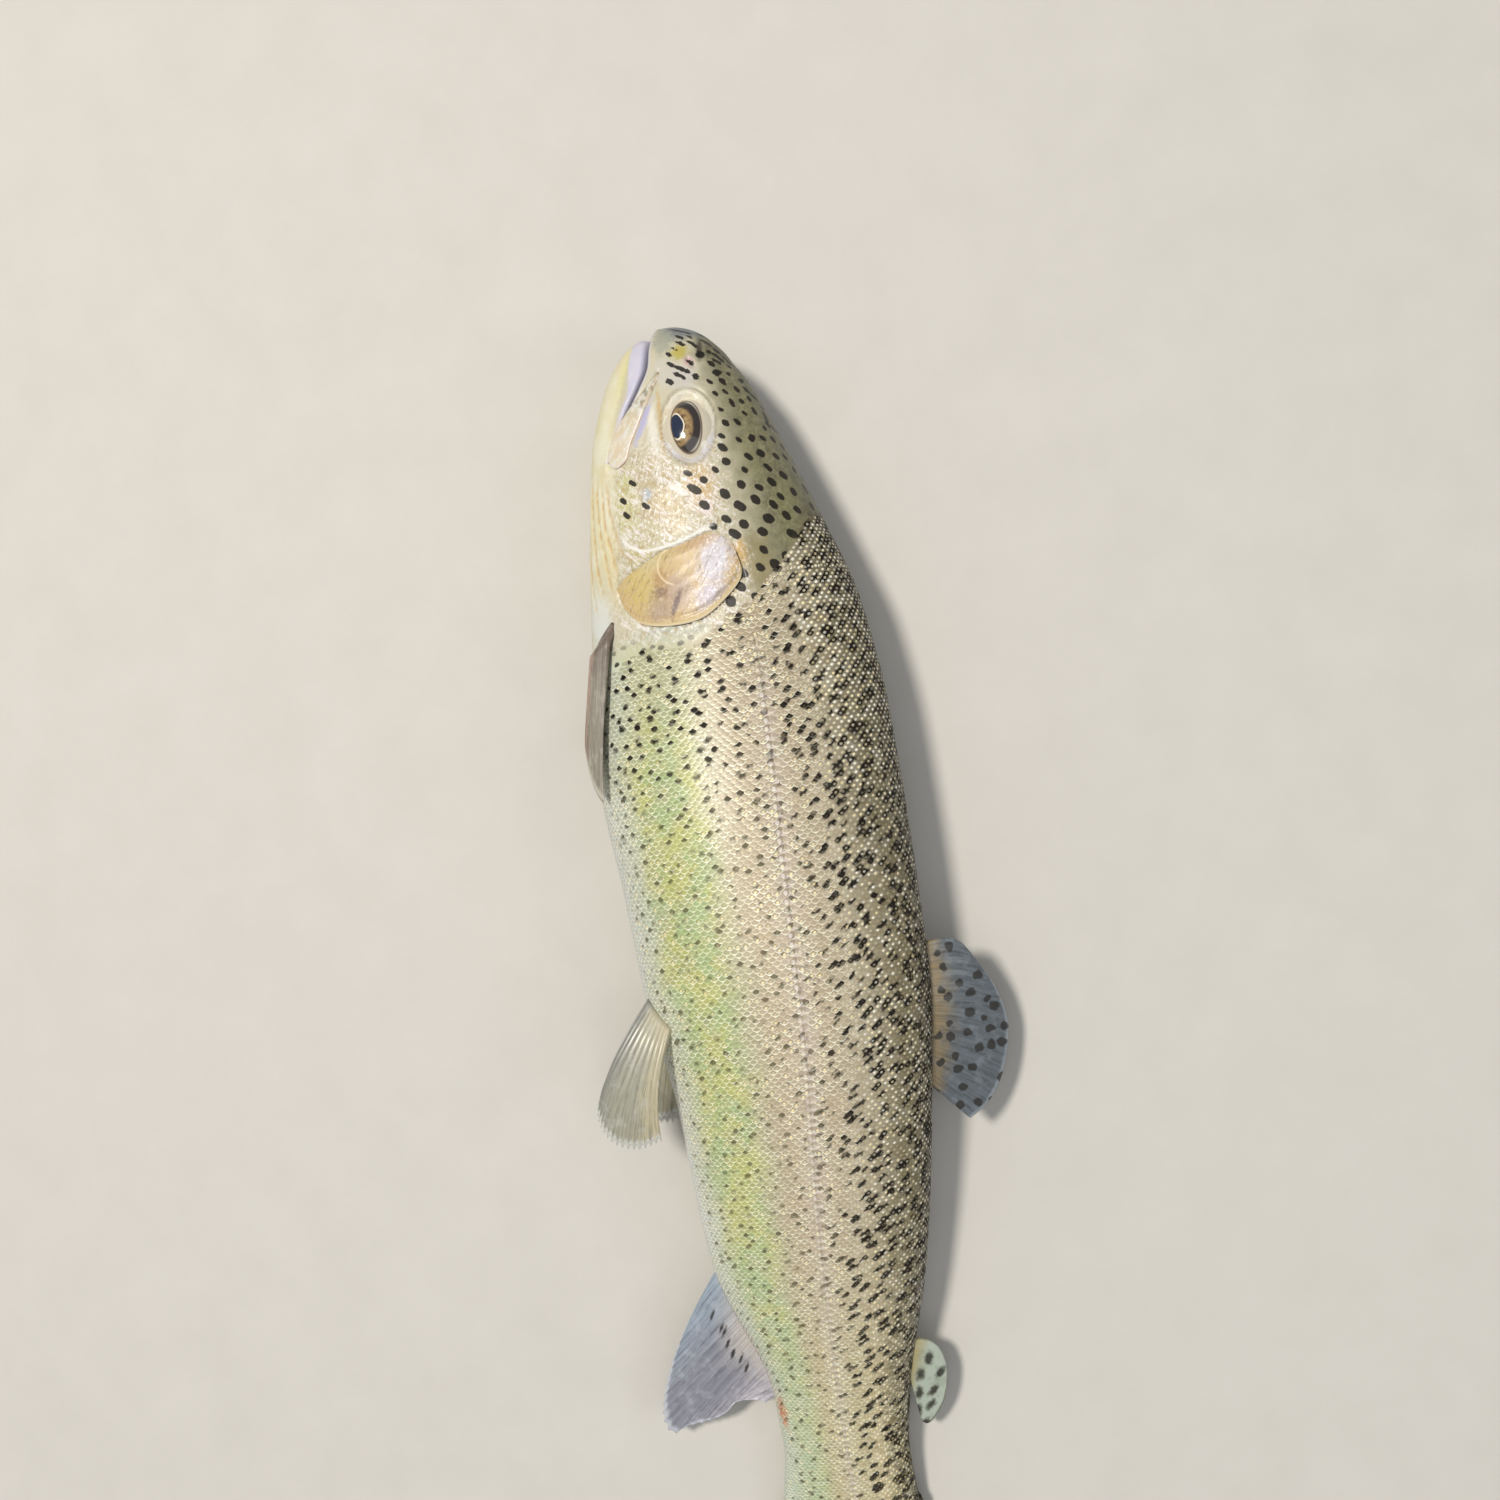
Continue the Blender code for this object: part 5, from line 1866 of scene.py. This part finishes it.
@dataclass
class Fin:
    """A fin as a thin sheet over its rays."""

    name: str
    node: str
    material: Material
    rays: int
    line: Shape
    root: float = 2.0
    tip: float = 0.32
    ridge: float = 0.22
    scallop: float = 0.0
    per_ray: int = 6
    rows: int = 40
    clearance: float = 0.05
    form: Form = FORM

    def build(self) -> Piece:
        """Builds the fin.

        Returns:
            The object, in place.
        """
        columns = self.rays * self.per_ray + 1
        u = np.linspace(0, 1, columns)
        v = np.linspace(0, 1, self.rows) ** 0.9
        wave = np.cos(2 * np.pi * u * self.rays) * 0.5 + 0.5
        grid_u, grid_v = np.meshgrid(u, v, indexing="ij")
        branch = np.cos(2 * np.pi * grid_u * self.rays * 2) * 0.5 + 0.5
        ray = wave[:, None] * fall(0.45, 0.75, grid_v) + branch * smooth(0.45, 0.75, grid_v)
        shorten = 1 - self.scallop * (1 - branch) * smooth(0.6, 1.0, grid_v)
        points = self.line(grid_u, grid_v * shorten)
        normal = unit(np.cross(np.gradient(points, axis=1), np.gradient(points, axis=0)))
        thick = self.tip + (self.root - self.tip) * (1 - grid_v) ** 3.2
        thick = thick + self.ridge * (ray - 0.5) * fall(0.9, 1.0, grid_v) * smooth(0.0, 0.2, grid_v)
        thick = thick * np.where((grid_v >= 1.0) | (grid_u <= 0) | (grid_u >= 1), 0.35, 1.0)
        half = normal * (thick / 2)[..., None]
        both = np.vstack([(points + half).reshape(-1, 3), (points - half).reshape(-1, 3)])
        data = np.tile(per_point(grid_u, grid_v, ray), (2, 1))
        piece = mesh_piece(self.name, self.form.lay(both, self.clearance), sheet_faces(columns, self.rows),
                           self.material, place=both, fin=data)
        return settle(piece, "fin", self.node)


def fan(base: Callable[[Array], Array], tips: Array, bend: Callable[[Array], Array]) -> Shape:
    """A fin's shape from its root line, its edge and its rays' bow.

    Args:
        base: gives root points for shares across the fin.
        tips: points of the outer edge, in order.
        bend: gives the bow of each ray as a vector.

    Returns:
        A function of (across, out) shares that gives points.
    """

    def line(u: Array, v: Array) -> Array:
        """Points of the fin."""
        start = base(u)
        end = along(tips, u)
        return start + (end - start) * v[..., None] + bend(u) * (4 * v * (1 - v))[..., None]

    return line


@dataclass
class Fins:
    """All the fins of the trout."""

    form: Form = FORM
    tail_end: float = 339.6

    def ridge_line(self, outline: Profile, start: float, finish: float,
                   sunk: float) -> Callable[[Array], Array]:
        """A fin's root along the back or belly."""
        way = math.copysign(1.0, float(outline(start)))

        def base(u: Array) -> Array:
            """Root points."""
            s = start + (finish - start) * u
            return np.stack([s, outline(s) - way * sunk, 0 * s], axis=-1)

        return base

    def dorsal(self) -> Fin:
        """The back fin, half laid back and leaning to the lower side."""
        tips = eased(((152.5, 45.6, -1.5), (162, 50.5, -6), (172, 52.5, -9), (182, 50, -8.5), (189, 45.5, -7),
                      (192, 40.5, -4.5)))
        shape = fan(self.ridge_line(self.form.back, 149.5, 182.0, 0.8), tips,
                    lambda u: np.stack([-1.5 * (1 - u), 1.5 * (1 - u), 1.0 * (1 - u)], axis=-1))
        finish = FinFinish("dorsal_fin_skin", tint(150, 130, 92), tint(104, 112, 118), tint(150, 158, 164),
                           tint(58, 60, 62), spots=0.75)
        return Fin("dorsal_fin_sheet", "dorsal_fin", finish.make(), 12, shape, root=2.4, ridge=0.3)

    def anal(self) -> Fin:
        """The fin behind the vent."""
        tips = eased(((229.5, -31.0, 0), (239.5, -37.2, -0.4), (249.5, -41.6, -0.7), (255.5, -42.8, -0.9),
                      (259.4, -41.2, -1.1), (258.2, -37.4, -1.4), (257.4, -33, -1.2), (256, -28.4, -0.9),
                      (253, -24.8, -0.6), (252.8, -19.6, -0.3), (253.6, -17.4, 0)))
        shape = fan(self.ridge_line(self.form.belly, 219.0, 252.0, 0.8), tips,
                    lambda u: np.stack([0 * u, 0 * u, 0.5 * np.sin(6 * u)], axis=-1))
        finish = FinFinish("anal_fin_skin", tint(204, 196, 188), tint(150, 150, 160), tint(196, 200, 208),
                           tint(92, 92, 104), front=tint(158, 172, 186), rear=tint(196, 190, 196),
                           patches=ANAL_FLECKS)
        return Fin("anal_fin_sheet", "anal_fin", finish.make(), 13, shape, root=2.2, ridge=0.26, scallop=0.03)

    def adipose(self) -> Fin:
        """The small fleshy fin before the tail."""
        tips = eased(((249, 25.9, -1.2), (253.5, 25.8, -1.2), (258.2, 24.3, -1.2), (262.0, 21.6, -1.2),
                      (263.3, 19.6, -1.2), (262.2, 18.4, -1.0)))
        shape = fan(self.ridge_line(self.form.back, 241.5, 251.0, 0.7), tips,
                    lambda u: np.stack([-1.4 * (1 - u), 1.7 * (1 - u) ** 1.5, 0 * u], axis=-1))
        finish = FinFinish("adipose_fin_skin", tint(176, 160, 104), tint(180, 190, 174), tint(110, 112, 92),
                           tint(176, 186, 172), patches=ADIPOSE_BLOTCHES)
        return Fin("adipose_fin_lobe", "adipose_fin", finish.make(), 6, shape, root=2.6, tip=0.9, ridge=0.0)

    def tail(self) -> Fin:
        """The tail fin, spread and slightly forked."""

        def line(u: Array, v: Array) -> Array:
            """Points of the tail fin."""
            spread = 1 - 2 * u
            height = np.where(spread > 0, 15.2, 17.2) * np.sign(spread) * np.abs(spread) ** 0.85
            start = np.stack([297.0 - 15.5 * (np.abs(height) / 17.0) ** 2.1, height, 0 * u], axis=-1)
            tip_height = np.where(spread > 0, 28.5, 29.5) * np.sign(spread) * np.abs(spread) ** 0.92
            corner = np.clip(np.abs(spread) - 0.93, 0, 1) / 0.07
            station = self.tail_end - 12.5 * (1 - np.abs(spread)) ** 1.25 - 7.0 * corner
            end = np.stack([station, tip_height, 0 * u], axis=-1)
            bow = np.stack([0 * u, 1.2 * spread, 0 * u], axis=-1)
            return start + (end - start) * v[..., None] + bow * (4 * v * (1 - v))[..., None]

        finish = FinFinish("tail_fin_skin", tint(186, 182, 138), tint(140, 136, 104), tint(120, 112, 92),
                           tint(92, 88, 70), spots=0.62, spot_size=0.8)
        return Fin("tail_fin_sheet", "caudal_fin", finish.make(), 19, line, root=3.4, ridge=0.3,
                   scallop=0.015, rows=56)

    def pelvic(self, side: Side) -> Fin:
        """A belly fin, half spread and swept back."""
        form = self.form
        tips = eased(((172, -40.4, 11), (177.6, -42.2, 12), (183.4, -39.6, 13), (185.6, -34, 13.6),
                      (184.2, -28, 14)))

        def base(u: Array) -> Array:
            """Root points just under the belly's skin."""
            s, a = 153.4 + 6.5 * u, 161 - 18 * u
            return form.surface(s, a) - form.normal(s, a) * 0.5

        def bend(u: Array) -> Array:
            """Bow of each ray."""
            return np.stack([0 * u, -1.2 - 0.2 * u, 1.2 + 1.0 * u], axis=-1)

        name = f"pelvic_fin_{side.label}"
        finish = FinFinish(f"{name}_skin", tint(196, 188, 160), tint(166, 164, 146), tint(204, 204, 196),
                           tint(98, 96, 88), front=tint(140, 140, 134), rear=tint(194, 184, 152))
        return Fin(f"{name}_sheet", name, finish.make(), 9, self.mirrored(fan(base, tips, bend), side),
                   ridge=0.26, scallop=0.05)

    def pectoral(self, side: Side) -> Fin:
        """A breast fin, folded back along the belly."""
        form = self.form

        def line(u: Array, v: Array) -> Array:
            """Points over the belly's skin."""
            s = (67.5 + 4.5 * u) * (1 - v) + (107.5 - 13.0 * u**1.4) * v
            a = (137 + 15 * u) * (1 - v) + (149 + 19 * u) * v
            lift = -0.4 + 1.8 * smooth(0.0, 0.12, v) + 1.0 * v
            return form.surface(s, a) + form.normal(s, a) * lift[..., None]

        name = f"pectoral_fin_{side.label}"
        finish = FinFinish(f"{name}_skin", tint(110, 92, 80), tint(164, 156, 142), tint(204, 198, 182),
                           tint(56, 48, 42), rear=tint(176, 150, 134))
        return Fin(f"{name}_sheet", name, finish.make(), 13, self.mirrored(line, side), root=1.8, ridge=0.3,
                   scallop=0.03)

    @staticmethod
    def mirrored(line: Shape, side: Side) -> Shape:
        """The same fin on the wanted side."""
        return lambda u, v: line(u, v) * np.array([1.0, 1.0, float(side.value)])

    def build(self) -> list[Piece]:
        """Builds every fin."""
        fins = [self.dorsal(), self.anal(), self.adipose(), self.tail()]
        fins += [make(side) for side in Side for make in (self.pelvic, self.pectoral)]
        return [fin.build() for fin in fins]


# ---------------------------------------------------------------- studio


@dataclass(frozen=True)
class Lamp:
    """A round area light turned to the fish."""

    name: str
    at: tuple[float, float, float]
    size: float
    power: float
    colour: Colour

    def build(self) -> None:
        """Sets the light."""
        data = bpy.data.lights.new(self.name, "AREA")
        data.shape = "DISK"
        data.size, data.energy, data.color = self.size, self.power, self.colour
        lamp = bpy.data.objects.new(self.name, data)
        lamp.location = self.at
        lamp.rotation_euler = (-Vector(self.at)).to_track_quat("-Z", "Y").to_euler()
        bpy.context.scene.collection.objects.link(lamp)


@dataclass(frozen=True)
class Studio:
    """A pale floor, soft light and the camera."""

    lamps: tuple[Lamp, ...] = (
        Lamp("key", (-0.52, -0.5, 1.5), 0.26, 20.0, (1.0, 0.96, 0.88)),
        Lamp("fill", (0.2, 0.75, 0.8), 0.45, 1.2, (0.95, 0.97, 1.0)),
        Lamp("top", (0.15, 0.1, 1.1), 0.9, 1.4, (1.0, 1.0, 1.0)),
    )
    sky: Colour = (0.9, 0.94, 1.0)
    sky_strength: float = 0.3
    floor_half: float = 3.0
    camera_at: tuple[float, float, float] = (-0.0609, 0.0395, 0.3733)
    tilt: float = -0.0237
    roll: float = -0.1158
    turn: float = 0.15
    view: float = 2 * math.atan(0.487646)

    def build(self) -> None:
        """Sets floor, lights, sky and camera."""
        self.floor()
        for lamp in self.lamps:
            lamp.build()
        world = bpy.data.worlds.new("studio")
        bpy.context.scene.world = world
        world.use_nodes = True
        background = world.node_tree.nodes["Background"]
        background.inputs["Color"].default_value = (*self.sky, 1.0)
        background.inputs["Strength"].default_value = self.sky_strength
        self.camera()
        view = bpy.context.scene.view_settings
        view.view_transform = "Standard"
        view.look = "None"

    def floor(self) -> None:
        """A wide pale floor."""
        g = Graph("floor")
        coordinate = Value(g, g.node("ShaderNodeTexCoord").outputs["Object"])
        speck = g.noise(coordinate, 60.0, 4, 0.6)
        colour = g.mix(speck, tint(204, 200, 192), tint(214, 210, 203))
        g.bump(g.noise(coordinate, 400.0, 3), 0.08, 0.0005)
        material = g.finish(colour, 0.75)
        corners = np.array([(-1, -1, 0), (1, -1, 0), (1, 1, 0), (-1, 1, 0)]) * self.floor_half
        floor = mesh_piece("floor", corners, [(0, 1, 2, 3)], material)
        if floor.data.polygons[0].normal.z < 0:
            floor.data.flip_normals()

    def camera(self) -> None:
        """A camera over the head end, looking down a little from the back's side."""
        data = bpy.data.cameras.new("camera")
        data.sensor_fit = "HORIZONTAL"
        data.angle = self.view
        data.clip_start = 0.01
        looking = bpy.data.objects.new("camera", data)
        seen = Matrix(((0, 1, 0), (-1, 0, 0), (0, 0, 1)))
        turned = Matrix.Rotation(self.turn, 3, "Z") @ Matrix.Rotation(self.tilt, 3, "X")
        turned = turned @ Matrix.Rotation(self.roll, 3, "Y")
        looking.matrix_world = Matrix.Translation(self.camera_at) @ (turned @ seen).transposed().to_4x4()
        bpy.context.scene.collection.objects.link(looking)
        bpy.context.scene.camera = looking


def main() -> None:
    """Builds the trout and its studio."""
    logging.basicConfig(level=logging.INFO, format="%(message)s")
    for found in list(bpy.data.objects):
        bpy.data.objects.remove(found)
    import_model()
    scales = ScaleFinish().make()
    skin = Skin().build(SkinFinish().make())
    settle(skin, "skin", "head", "lower_jaw", "trunk", "tail_stem")
    for piece in ScaleCoat().build(scales):
        settle(piece, "skin", "trunk", "tail_stem")
    cover, bone, eye = CoverFinish().make(), JawBoneFinish().make(), EyeFinish().make()
    for side in Side:
        GillCover(side).build(cover)
        JawBone(side).build(bone)
        Eye(side).build(eye)
    Fins().build()
    Studio().build()


if __name__ == "__main__":
    main()
